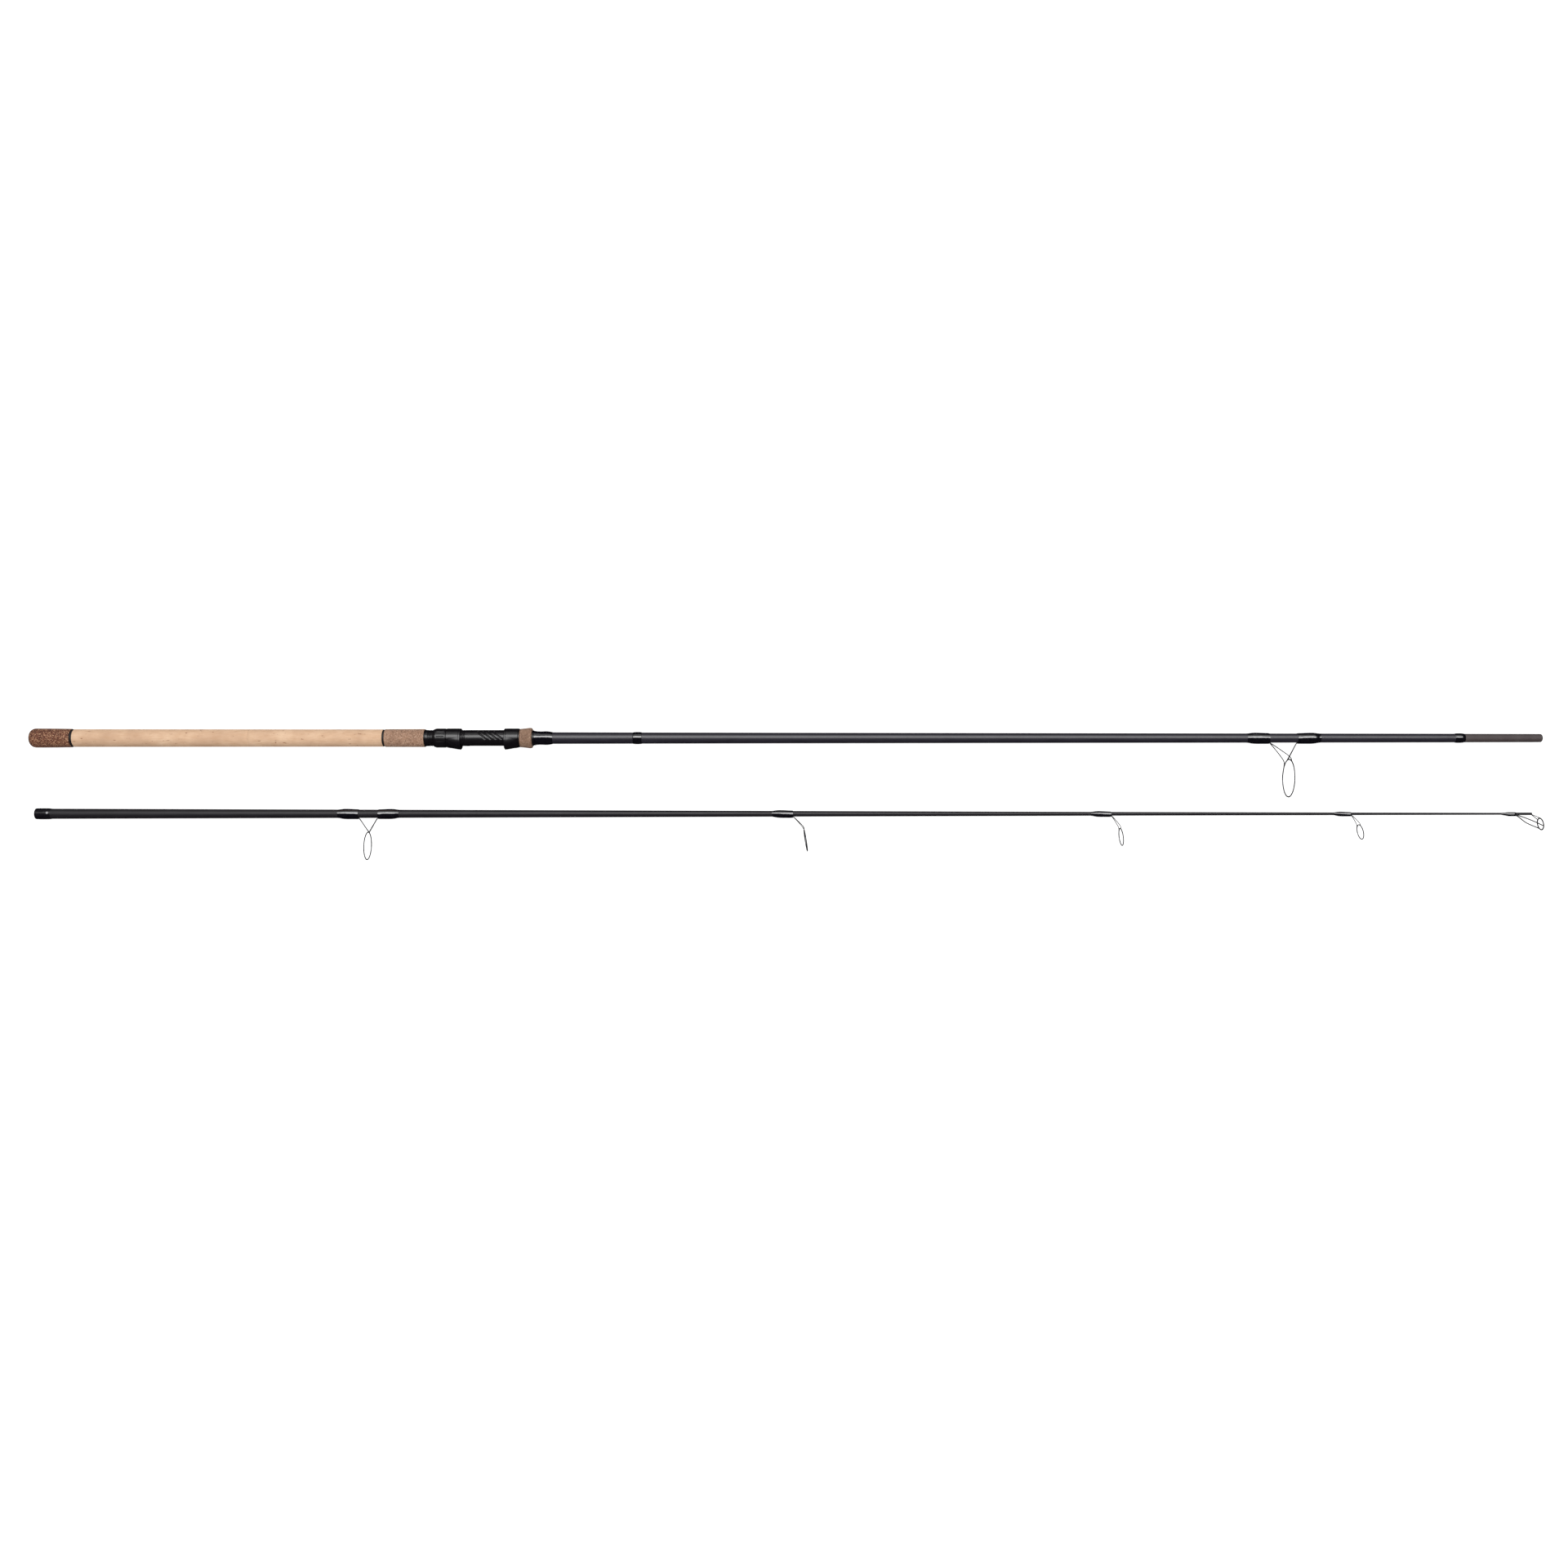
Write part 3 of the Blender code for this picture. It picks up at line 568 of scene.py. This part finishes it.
def handle():
    """Grips and thin rings behind the reel seat and in front of it."""
    button_and_cap()
    grip("cap_ring", "butt_cap_ring", [(51.1, 10.75), (54.1, 10.75)], "black_rubber")
    grip("cork_lower", "rear_grip_lower", [(54.2, 10.85), (160, 10.78), (268.95, 10.7)], "cork", 0.25)
    grip("cork_upper", "rear_grip_upper", [(269.0, 10.7), (350, 10.65), (432.3, 10.6)], "cork", 0.25)
    grip("grip_band", "grip_ring", [(432.4, 10.3), (434.9, 10.3)], "black_rubber")
    grip("fore_cork", "fore_grip", [(435, 10.88), (459, 10.95), (483.3, 11.0)], "rubber_cork", 0.3)
    grip("seat_rear_trim", "seat_rear_ring", [(483.5, 10.4), (484.6, 10.4)], "seat_plastic", 0.3)
    grip("seat_front_trim", "seat_front_ring", [(598.6, 11.3), (599.9, 11.3)], "seat_plastic")
    cone = [(600.0, 11.2), (606.0, 11.8), (612.2, 12.6), (614.2, 12.3), (615.0, 11.2)]
    grip("front_cone", "front_grip", cone, "rubber_cork", 0.9, FRONT_CORK)
    grip("winding_check", "front_check", [(615.1, 9.6), (616.9, 9.3)], "seat_plastic")


# ------------------------------------------------------------------- reel seat

THREAD_START, THREAD_END, THREAD_PITCH = 485.0, 534.0, 2.0
THREAD_ROOT, THREAD_CREST = 9.35, 9.95
SLOT_FLOOR, SLOT_ANGLE = 9.0, 7.6                # keyway in the thread: depth and half width
BARREL_R, BARREL_STEP_R = 9.82, 9.2
BED_START, BED_END, BED_HEIGHT = 538, 593, 8.8   # flat under the reel foot
FLUTE_CENTRES = (553.6, 560.2, 566.8, 573.4)
FLUTE_DEPTH, FLUTE_WIDTH = 1.0, 1.1
FLUTE_SLANT, FLUTE_MIDDLE = 5.5, 99              # slant to each side of its middle angle

# hoods: the mouth's station, the plain far end's, and how deep the pocket goes
FRONT_HOOD = (581.0, 598.5, 12.0)
LOOSE_HOOD = (527.8, 510.3, 12.3)
HOOD_R, HOOD_BORE = 11.75, 10.22                 # plain end of a hood
HOOD_LOBE_R, POCKET_LOBE_R = 11.4, 8.2
MOUTH_REACH, LIP_SWELL, LIP_FALL, LIP_END = 13.9, 0.45, 0.15, 2.5
HUMP_REACH, BACK_REACH, POCKET_REACH = 14.2, 12.45, 12.7
PANEL_SETBACK, GROOVE_DEPTH = 0.42, 0.28
PANEL_NARROW, PANEL_WIDE = 22, 73                # panel's edge at the mouth and at the far end
EDGE_ROUND = 0.35
KEY_FLOOR, KEY_TOP, KEY_HALF, KEY_ENDS = 9.3, 10.7, 0.9, (510.5, 513.3)
HOOD_SIDES, SEAT_SIDES = 180, 240

NUT_START, NUT_END = 494.5, 510.0
NUT_REAR_R, NUT_RISE, NUT_BORE = 10.7, 1.0, 9.99
NUT_GROOVES, NUT_GROOVE_DEPTH, NUT_TURN = 12, 0.3, 4.8


def thread_shape():
    """Right-hand thread with narrow flats; the key's slot runs along the guide side."""
    slope_end, flat_end, ring_step = 0.42, 0.58, 0.2
    slot_angle = math.radians(SLOT_ANGLE)

    def ring(station):
        def radius(angle):
            place = ((station - THREAD_START) / THREAD_PITCH - angle / TURN) % 1
            height = min(place / slope_end, (1 - place) / (1 - flat_end), 1)
            r = THREAD_ROOT + (THREAD_CREST - THREAD_ROOT) * height
            if abs(angle) < slot_angle:
                r = min(r, SLOT_FLOOR / math.cos(angle))
            return r
        return polar(radius, station, 96)

    count = round((THREAD_END - THREAD_START) / ring_step)
    return skin([ring(THREAD_START + ring_step * k) for k in range(count + 1)])


def barrel_shape():
    """Smooth barrel with the flat reel-foot bed and four slanting flutes on each side."""
    start = 533.6

    def ring(station):
        def radius(angle):
            if station == start:
                return BARREL_STEP_R
            r = BARREL_R
            if BED_START <= station <= BED_END and abs(angle) < math.radians(40):
                r = min(r, BED_HEIGHT / math.cos(angle))
            turn = abs(math.degrees(angle))
            fade = smooth(turn, 62, 74) * (1 - smooth(turn, 128, 142))
            slant = FLUTE_SLANT * math.tanh((turn - FLUTE_MIDDLE) / 28.0)
            for centre in FLUTE_CENTRES:
                off = station - (centre - slant)
                r -= FLUTE_DEPTH * fade * math.exp(-(off / FLUTE_WIDTH) ** 2)
            return r
        return polar(radius, station, SEAT_SIDES)

    fine = [534.25 + 0.25 * k for k in range(180)]
    return skin([ring(station) for station in [start, 534.0] + fine + [580.0, 590.0, 598.5]])


def lobe(base, reach, lobe_r, angle):
    """Radius of the outline drawn round a circle and a smaller one that stands out to reach."""
    offset = reach - lobe_r
    turn = abs(angle)
    if offset <= base - lobe_r:
        return base
    tangent = math.acos((base - lobe_r) / offset)
    if turn >= tangent:
        return base
    shoulder = math.atan2(lobe_r * math.sin(tangent), offset + lobe_r * math.cos(tangent))
    if turn >= shoulder:
        return base / math.cos(tangent - turn)
    return offset * math.cos(turn) + math.sqrt(lobe_r ** 2 - (offset * math.sin(turn)) ** 2)


def hood_reach(t, length, pocket_end):
    """How far the hood stands out on the guide side, t mm from its mouth."""
    if t <= LIP_END:
        return MOUTH_REACH + LIP_SWELL * smooth(t, 0, 0.8) - LIP_FALL * smooth(t, 0.8, LIP_END)
    if t <= pocket_end:
        return HUMP_REACH - (HUMP_REACH - BACK_REACH) * (t - LIP_END) / (pocket_end - LIP_END)
    fade = smooth(t, pocket_end, length)
    return BACK_REACH * (1 - fade) + HOOD_R * fade


def hood_setback(t, length, turn):
    """Panels beside a middle ridge, which widen from the mouth, and a groove behind the lip."""
    side = PANEL_NARROW + (PANEL_WIDE - PANEL_NARROW) * min(t / length, 1)
    panel = (1 - smooth(turn, side - 3, side)) * smooth(turn, 10, 17) * smooth(t, 1.9, 2.3)
    groove = smooth(t, 1.7, 2.0) * (1 - smooth(t, 2.3, 2.6))
    return PANEL_SETBACK * panel + GROOVE_DEPTH * groove


def hood_shape(mouth, far, pocket_end):
    """Hood with a pocket lobe; stations run from its mouth to its plain far end."""
    length = abs(far - mouth)
    way = 1 if far > mouth else -1

    def outer(t):
        def radius(angle):
            r = lobe(HOOD_R, hood_reach(t, length, pocket_end), HOOD_LOBE_R, angle)
            edge = EDGE_ROUND * (1 - smooth(t, 0, 0.5)) + EDGE_ROUND * smooth(t, length - 0.5, length)
            return r - hood_setback(t, length, abs(math.degrees(angle))) - edge
        return polar(radius, mouth + way * t, HOOD_SIDES)

    def inner(t):
        def radius(angle):
            reach = POCKET_REACH + 0.4 * smooth(t, 0, 1) - 1.9 * smooth(t, LIP_END, pocket_end)
            r = lobe(HOOD_BORE, reach, POCKET_LOBE_R, angle)
            open_share = 1 - smooth(t, pocket_end - 0.2, pocket_end + 0.2)
            return HOOD_BORE + (r - HOOD_BORE) * open_share
        return polar(radius, mouth + way * t, HOOD_SIDES)

    steps = [0, 0.25, 0.5, 0.8, 1.1, 1.4, 1.7, 1.85, 2.0, 2.15, 2.3, 2.45, 2.6, 2.9, 3.2]
    steps += [3.2 + (length - 4.2) * k / 24 for k in range(1, 25)]
    steps += [length - 0.7, length - 0.4, length - 0.2, length]
    return skin([outer(t) for t in steps] + [inner(t) for t in reversed(steps[::2])], loop=True)


def nut_shape():
    """Lock nut: a cone at the rear, narrow grooves along it and a small step at the front."""
    def ring(station):
        def radius(angle):
            t = station - NUT_START
            r = NUT_REAR_R + NUT_RISE * smooth(t, -0.4, 3.6)
            r -= 0.35 * smooth(station, NUT_END - 1.6, NUT_END - 1.0)
            cut = smooth(t, 3.6, 4.6) * (1 - smooth(station, NUT_END - 1.9, NUT_END - 1.1))
            wave = 0.5 + 0.5 * math.cos(NUT_GROOVES * (angle - math.radians(NUT_TURN)))
            edge = 0.3 * (1 - smooth(t, 0, 0.4)) + 0.3 * smooth(station, NUT_END - 0.4, NUT_END)
            return r - NUT_GROOVE_DEPTH * cut * wave ** 20 - edge
        return polar(radius, station, SEAT_SIDES)

    steps = 60
    stations = [NUT_START + (NUT_END - NUT_START) * k / steps for k in range(steps + 1)]
    inner = [circle(NUT_BORE, station, SEAT_SIDES) for station in (NUT_END, NUT_START)]
    return skin([ring(station) for station in stations] + inner, loop=True)


def key_shape():
    """Block in the loose hood's bore that runs in the keyway."""
    return skin([[(KEY_FLOOR, -KEY_HALF, station), (KEY_TOP, -KEY_HALF, station),
                  (KEY_TOP, KEY_HALF, station), (KEY_FLOOR, KEY_HALF, station)]
                 for station in KEY_ENDS])


def reel_seat():
    """Threaded seat with its two hoods and the lock nut."""
    collar = turned([(484.8, 0), (484.8, 9.9), (487.2, 9.9), (487.4, 9.3)], None, 0.25)
    front_line = turned([(596.2, 9.01), (596.2, 9.9), (598.4, 9.9), (598.4, 9.01)], 9.0, 0.3)
    shapes = [thread_shape(), barrel_shape(), collar, front_line]
    piece("seat_body", BUTT, shapes, "butt_section", "seat_plastic", "reel_seat_barrel")
    front_hood = [hood_shape(*FRONT_HOOD)]
    piece("hood_front", BUTT, front_hood, "butt_section", "seat_plastic", "fixed_hood")
    loose_hood = [hood_shape(*LOOSE_HOOD), key_shape()]
    piece("hood_sliding", BUTT, loose_hood, "sliding_hood", "seat_plastic", "sliding_hood")
    piece("seat_nut", BUTT, [nut_shape()], "lock_nut", "seat_plastic", "lock_nut")


# ------------------------------------------------------------- blanks, whippings

BUTT_BLANK = [(8.0, 7.45), (643.0, 7.1), (903.0, 6.55), (1742.0, 5.3), (1758.0, 5.2), (1849.8, 5.03)]
TIP_BLANK = [(0.0, 6.3), (229.0, 5.6), (578.0, 4.6), (949.0, 3.45), (1340.0, 2.3), (1799.0, 1.25),
             (1836.0, 1.1)]
SOCKET_DEPTH, SOCKET_MOUTH_R, SOCKET_FLOOR_R = 96.0, 5.32, 5.14
FERRULE_PLUG = [(1849.0, 4.4), (1849.9, 4.9), (1850.6, 4.6), (1851.0, 4.0), (1851.2, 3.2), (1851.2, 0)]
SEAT_WHIPPING = [(617.0, 7.1), (617.0, 8.7), (617.6, 9.0), (618.6, 8.8), (620.5, 8.35), (623.5, 8.2),
                 (627.0, 8.2), (630.5, 8.4), (632.5, 8.4), (635.0, 8.2), (637.6, 7.8), (639.4, 7.35),
                 (640.0, 7.1)]
TRIM_WHIPPING = [(738.0, 6.9), (739.0, 7.25), (741.0, 7.45), (744.0, 7.5), (747.0, 7.35), (748.6, 7.1),
                 (749.0, 6.9)]
MALE_WHIPPING = [(1744.0, 5.2), (1745.0, 5.6), (1747.0, 5.85), (1750.0, 5.9), (1753.0, 5.8),
                 (1755.6, 5.5), (1756.5, 5.2)]
SOCKET_WHIPPING = [(0.0, 6.3), (0.0, 6.6), (0.8, 6.75), (4.0, 6.8), (14.0, 6.8), (17.0, 6.7),
                   (18.6, 6.45), (19.0, 6.3)]


def butt_tube():
    """Butt blank with its plug and the three whippings that hold no guide."""
    butt = [turned([(8.0, 0)] + BUTT_BLANK + [(1849.8, 4.0)])]
    piece("blank_butt", BUTT, butt, "butt_section", "carbon_blank", "butt_blank")
    plug = [turned(FERRULE_PLUG)]
    piece("ferrule_plug", BUTT, plug, "butt_section", "black_rubber", "male_ferrule_plug")
    seat = [turned(SEAT_WHIPPING, 7.0, 0.8)]
    piece("whipping_seat", BUTT, seat, "butt_section", "whipping", "seat_whipping")
    trim = [turned(TRIM_WHIPPING, 6.8, 0.8)]
    piece("whipping_trim", BUTT, trim, "butt_section", "whipping", "trim_whipping")
    male = [turned(MALE_WHIPPING, 5.1, 0.8)]
    piece("whipping_ferrule", BUTT, male, "butt_section", "whipping", "male_ferrule_whipping")


def tip_tube():
    """Tip blank with its open socket and the whipping round it."""
    outline = [(SOCKET_DEPTH, 0), (SOCKET_DEPTH, SOCKET_FLOOR_R), (0.0, SOCKET_MOUTH_R)]
    outline += TIP_BLANK + [(1836.0, 0)]
    piece("blank_tip", TIP, [turned(outline)], "tip_section", "carbon_blank", "tip_blank",
          material=TIP_CARBON)
    socket = [turned(SOCKET_WHIPPING, 6.28, 0.4)]
    piece("whipping_socket", TIP, socket, "tip_section", "whipping", "socket_whipping",
          material=THIN_LACQUER)


# --------------------------------------------------------------------- guides

# one guide's station, height of its centre over the axis, outer radius, lean in degrees, wire
# radius and insert thickness; a leg is the foot's thin end, its thick end and half the angle
# between the places where its two wires meet the ring
GUIDES = {
    "guide_1": dict(at=1537.8, reach=50.37, outer=23.67, lean=-0.9, wire=0.46, insert=0.6,
                    legs={"rear": (1492.0, 1517.8, 40), "front": (1578.0, 1551.2, 7)}),
    "guide_2": dict(at=410.0, reach=40.51, outer=17.52, lean=-1.75, wire=0.42, insert=0.5,
                    legs={"rear": (373.0, 396.8, 5), "front": (444.0, 420.0, 5)}),
    "guide_3": dict(at=945.4, reach=33.5, outer=14.0, lean=9.2, wire=0.38, insert=0.45,
                    legs={"": (906.0, 930.4, 25)}),
    "guide_4": dict(at=1331.6, reach=29.2, outer=11.25, lean=6.8, wire=0.38, insert=0.45,
                    legs={"": (1298.0, 1321.3, 33)}),
    "guide_5": dict(at=1625.0, reach=23.0, outer=9.67, lean=11.3, wire=0.36, insert=0.4,
                    legs={"": (1596.5, 1616.2, 40)}),
}
TIP_TOP = dict(at=1847.1, reach=12.9, outer=7.95, lean=8.7, wire=0.45, insert=0.7)
TUBE_START, TUBE_END, TUBE_R = 1808.0, 1838.1, 1.62
RING_SIDES, HOOP_SIDES = 96, 14
HOOP_SLACK = 0.06                # keeps the hoop's round wire inside the guide's outer size
INSERT_GAP, INSERT_HALF = 0.02, 0.62
FOOT_GAP, FOOT_THICK = 0.12, 0.8
REAR_WIRES, FRONT_WIRES = 1.2, 0.95              # legs' radius as a share of the hoop's
WRAP_THICK, WRAP_OVER_FOOT, WRAP_SPREAD = 0.95, 0.55, 85
TOP_WRAP_START, TOP_WRAP_LENGTH = 1800.0, 18.2


def ring_point(guide, radius, beta):
    """Point on the guide's ring; beta 0 is nearest the blank."""
    lean = math.radians(guide["lean"])
    out = -radius * math.cos(math.radians(beta))
    return Vector((guide["reach"] + out * math.cos(lean), radius * math.sin(math.radians(beta)),
                   guide["at"] + out * math.sin(lean)))


def ring_shape(guide, radius, section):
    """Ring swept round the guide's centre; section is (outwards, along) offsets."""
    lean = math.radians(guide["lean"])
    axis = Vector((-math.sin(lean), 0, math.cos(lean)))
    centre = Vector((guide["reach"], 0, guide["at"]))
    rings = []
    for k in range(RING_SIDES):
        base = ring_point(guide, radius, 360 * k / RING_SIDES)
        outwards = (base - centre).normalized()
        rings.append([tuple(base + outwards * out + axis * along) for out, along in section])
    return skin(rings, loop=True)


def hoop_and_insert(name, section, body, guide, extra):
    """Wire hoop, joined with the extra wires and feet, and the ceramic ring in it."""
    wire_r = guide["wire"]
    hoop_r = guide["outer"] - wire_r - HOOP_SLACK
    angles = [TURN * k / HOOP_SIDES for k in range(HOOP_SIDES)]
    wire = [(wire_r * math.cos(angle), wire_r * math.sin(angle)) for angle in angles]
    shapes = [ring_shape(guide, hoop_r, wire)] + extra
    piece(name + "_wires", section, shapes, body, "guide_wire", name + "_frame")
    half, thick = INSERT_HALF, guide["insert"]
    soft = [(0.0, half), (0.0, -half), (-thick * 0.5, -half * 0.95), (-thick * 0.9, -half * 0.5),
            (-thick, 0.0), (-thick * 0.9, half * 0.5), (-thick * 0.5, half * 0.95)]
    insert = ring_shape(guide, hoop_r - wire_r - INSERT_GAP, soft)
    piece(name + "_ring", section, [insert], body, "ring_ceramic", name + "_insert")


def leg_shapes(table, guide, leg):
    """A foot on the blank and its two wires, which meet the hoop at plus and minus beta."""
    thin_end, thick_end, beta = leg
    way = 1 if thick_end > thin_end else -1
    base = taper(table, min(thin_end, thick_end)) + FOOT_GAP
    cuts = ((thin_end, 0.25, 0.5), (thick_end - 6 * way, 0.7, 0.95), (thick_end, 0.75, 0.8))
    foot = [[(base, -half, station), (base + thick, -half * 0.8, station),
             (base + thick, half * 0.8, station), (base, half, station)]
            for station, thick, half in cuts]
    shapes = [skin(foot)]
    hoop_r = guide["outer"] - guide["wire"]
    lift = base + 0.4
    knee = 0.70                  # where the wire turns towards the hoop, as a share of its way
    for side in (-1, 1):
        target = ring_point(guide, hoop_r, side * beta)
        beyond = ring_point(guide, hoop_r, side * (beta + 6))
        root = Vector((lift, side * 0.45, thick_end - 1.6 * way))
        bend = Vector((lift + 0.25, side * 0.55, thick_end + 0.5 * way))
        shoulder = bend + (target - bend) * knee
        shoulder.z = bend.z + (target.z - bend.z) * (knee + 0.20 * smooth(beta, 5, 30))
        path = curved([root, bend, shoulder, target, beyond], 8)
        shapes.append(tube(path, guide["wire"] * (REAR_WIRES if way > 0 else FRONT_WIRES)))
    return shapes


def wrap_shape(table, thin_end, thick_end):
    """Whipping over a guide foot: a spindle that swells over the foot."""
    length = thick_end - thin_end
    foot_top = taper(table, min(thin_end, thick_end)) + FOOT_GAP + FOOT_THICK

    def outer(t):
        station = thin_end + t * length
        blank = taper(table, station)
        fat = WRAP_THICK * smooth(t, -0.05, 0.35)
        fat *= 1 - 0.45 * smooth(t, 0.4, 0.95)
        fat *= 1 - 0.4 * smooth(t, 0.93, 1.02)
        rise = smooth(t, 0.02, 0.5) * (1 - 0.12 * smooth(t, 0.9, 1.03))

        def radius(angle):
            swell = 0.0
            if abs(angle) < math.radians(WRAP_SPREAD):
                swell = math.cos(angle * 90 / WRAP_SPREAD) ** 1.6
            over_foot = foot_top + WRAP_OVER_FOOT - (blank + fat)
            return blank + 0.02 + fat + over_foot * rise * swell
        return polar(radius, station, 64)

    def inner(t):
        station = thin_end + t * length
        return circle(taper(table, station) - 0.1, station, 64)

    steps = 28
    return skin([outer(k / steps) for k in range(steps + 1)] + [inner(1.0), inner(0.0)], loop=True)


def guide_set(name, section, body, table):
    """One guide with a foot or two: its whippings, its wires and its ring."""
    guide = GUIDES[name]
    extra = []
    for side, leg in guide["legs"].items():
        extra += leg_shapes(table, guide, leg)
        thin_end, thick_end = leg[:2]
        way = 1 if thick_end > thin_end else -1
        label = f"{name}_{side}_wrap" if side else f"{name}_wrap"
        shape = wrap_shape(table, thin_end - 2.0 * way, thick_end - 0.6 * way)
        piece(label + "_thread", section, [shape], body, "whipping", label)
    hoop_and_insert(name, section, body, guide, extra)


def tip_top_wires():
    """The tip ring's tube, its two long bowed wires and its two short ones."""
    hoop_r = TIP_TOP["outer"] - TIP_TOP["wire"]
    tube_profile = [(TUBE_START, 0), (TUBE_START, TUBE_R), (TUBE_END - 0.6, TUBE_R),
                    (TUBE_END - 0.1, 1.3), (TUBE_END, 0)]
    shapes = [turned(tube_profile, None, 0.3, 48)]
    lie = TUBE_R + 0.1
    for side in (-1, 1):
        long_end = ring_point(TIP_TOP, hoop_r, side * 123)
        start = Vector((lie, side * 0.7, TUBE_START + 0.6))
        bend = Vector((lie + 0.1, side * 0.8, TUBE_START + 10.6))
        bowed = (bend + long_end) / 2 + Vector((0.4, side * 3.0, 0))
        shapes.append(tube(curved([start, bend, bowed, long_end], 10), 0.62))
        short_end = ring_point(TIP_TOP, hoop_r, side * 30)
        short_start = Vector((0.8, side * 0.3, TUBE_END - 0.8))
        shapes.append(tube([short_start, short_end], 0.46))
    return shapes


def tip_top_wrap():
    """Whipping that runs from the blank up over the tube and its wires."""
    def outer(t):
        station = TOP_WRAP_START + TOP_WRAP_LENGTH * t
        blank = taper(TIP_BLANK, station)
        base = blank + 0.3 * smooth(t, -0.02, 0.2) + (TUBE_R + 0.1 - blank) * smooth(t, 0.2, 0.5)
        base -= 0.25 * smooth(t, 0.93, 1.02)
        reach = 1.9 + 1.1 * smooth(t, 0.15, 0.55)
        swell = max(reach - base, 0) * smooth(t, 0, 0.2)
        return polar(lambda angle: base + swell * max(0.0, math.cos(angle)) ** 2, station, 48)

    steps = 24
    ends = (TOP_WRAP_START + TOP_WRAP_LENGTH, TOP_WRAP_START)
    inner = [circle(1.1, station, 48) for station in ends]
    return skin([outer(k / steps) for k in range(steps + 1)] + inner, loop=True)


def tip_top():
    """The ring at the very end of the tip section, and its whipping."""
    hoop_and_insert("tip_top", TIP, "tip_section", TIP_TOP, tip_top_wires())
    piece("tip_top_thread", TIP, [tip_top_wrap()], "tip_section", "whipping", "tip_top_wrap")


# ---------------------------------------------------------------------- build

handle()
reel_seat()
butt_tube()
tip_tube()
guide_set("guide_1", BUTT, "butt_section", BUTT_BLANK)
for guide_name in ("guide_2", "guide_3", "guide_4", "guide_5"):
    guide_set(guide_name, TIP, "tip_section", TIP_BLANK)
tip_top()

# the spacers inside the seat stay the CAD's own pieces
for node in ("seat_arbor_rear", "seat_arbor_front"):
    obj = frame["nodes"][node]
    obj.data.materials.clear()
    obj.data.materials.append(MATERIALS["arbor"])


# ----------------------------------------------------------- floor, light, camera

WHITE = (1, 1, 1, 1)
GROUND_GLOW = 0.85               # floor and backdrop alike
FLOOR_REACH, FLOOR_DROP = 20.0, 0.0005
BOX_LENGTH = 5.0                 # the soft boxes lie along the rod and pass its ends
AIM = Vector((0, 0, 0))
CAMERA_PLACE, LENS, SENSOR = (-0.00344, 0.01293, 1.8626), 34.66, 36


def floor():
    """White ground that glows for the camera and throws no mirror image."""
    mesh = bpy.data.meshes.new("floor")
    corners = [(-1, -1), (1, -1), (1, 1), (-1, 1)]
    mesh.from_pydata([(x * FLOOR_REACH, y * FLOOR_REACH, 0) for x, y in corners], [], [(0, 1, 2, 3)])
    material = bpy.data.materials.new("pale_floor")
    material.use_nodes = True
    shader = material.node_tree.nodes["Principled BSDF"]
    shader.inputs["Base Color"].default_value = (0.3, 0.3, 0.3, 1)
    shader.inputs["Roughness"].default_value = 1.0
    shader.inputs["Specular IOR Level"].default_value = 0.0
    shader.inputs["Emission Color"].default_value = WHITE
    shader.inputs["Emission Strength"].default_value = GROUND_GLOW
    mesh.materials.append(material)
    obj = bpy.data.objects.new("floor", mesh)
    bpy.context.scene.collection.objects.link(obj)
    obj.location.z = -FLOOR_DROP
    obj.visible_glossy = False


def area(name, centre, width, power):
    """Soft box centred at a point and facing the middle of the scene."""
    data = bpy.data.lights.new(name, "AREA")
    data.shape = "RECTANGLE"
    data.size = BOX_LENGTH
    data.size_y = width
    data.energy = power
    obj = bpy.data.objects.new(name, data)
    bpy.context.scene.collection.objects.link(obj)
    obj.location = centre
    obj.rotation_euler = (AIM - Vector(centre)).to_track_quat("-Z", "Y").to_euler()
    return obj


def world(strength):
    """White backdrop that only the camera sees, so it lights nothing."""
    made = bpy.data.worlds.new("studio")
    made.use_nodes = True
    background = made.node_tree.nodes["Background"]
    background.inputs["Color"].default_value = WHITE
    background.inputs["Strength"].default_value = strength
    bpy.context.scene.world = made
    # Blender takes these two only once the scene uses the world
    made.cycles_visibility.diffuse = False
    made.cycles_visibility.glossy = False


def camera():
    """Looks straight down on both sections."""
    data = bpy.data.cameras.new("camera")
    data.sensor_width = SENSOR
    data.lens = LENS
    obj = bpy.data.objects.new("camera", data)
    bpy.context.scene.collection.objects.link(obj)
    obj.location = CAMERA_PLACE
    bpy.context.scene.camera = obj


floor()
world(GROUND_GLOW)
area("key_box", (0, 1.25, 2.75), 1.6, 165)
area("side_box", (0, 3.0, 1.6), 1.5, 20)
area("fill_box", (0, -1.6, 2.4), 2.5, 84).visible_glossy = False
camera()
bpy.context.scene.view_settings.view_transform = "Standard"
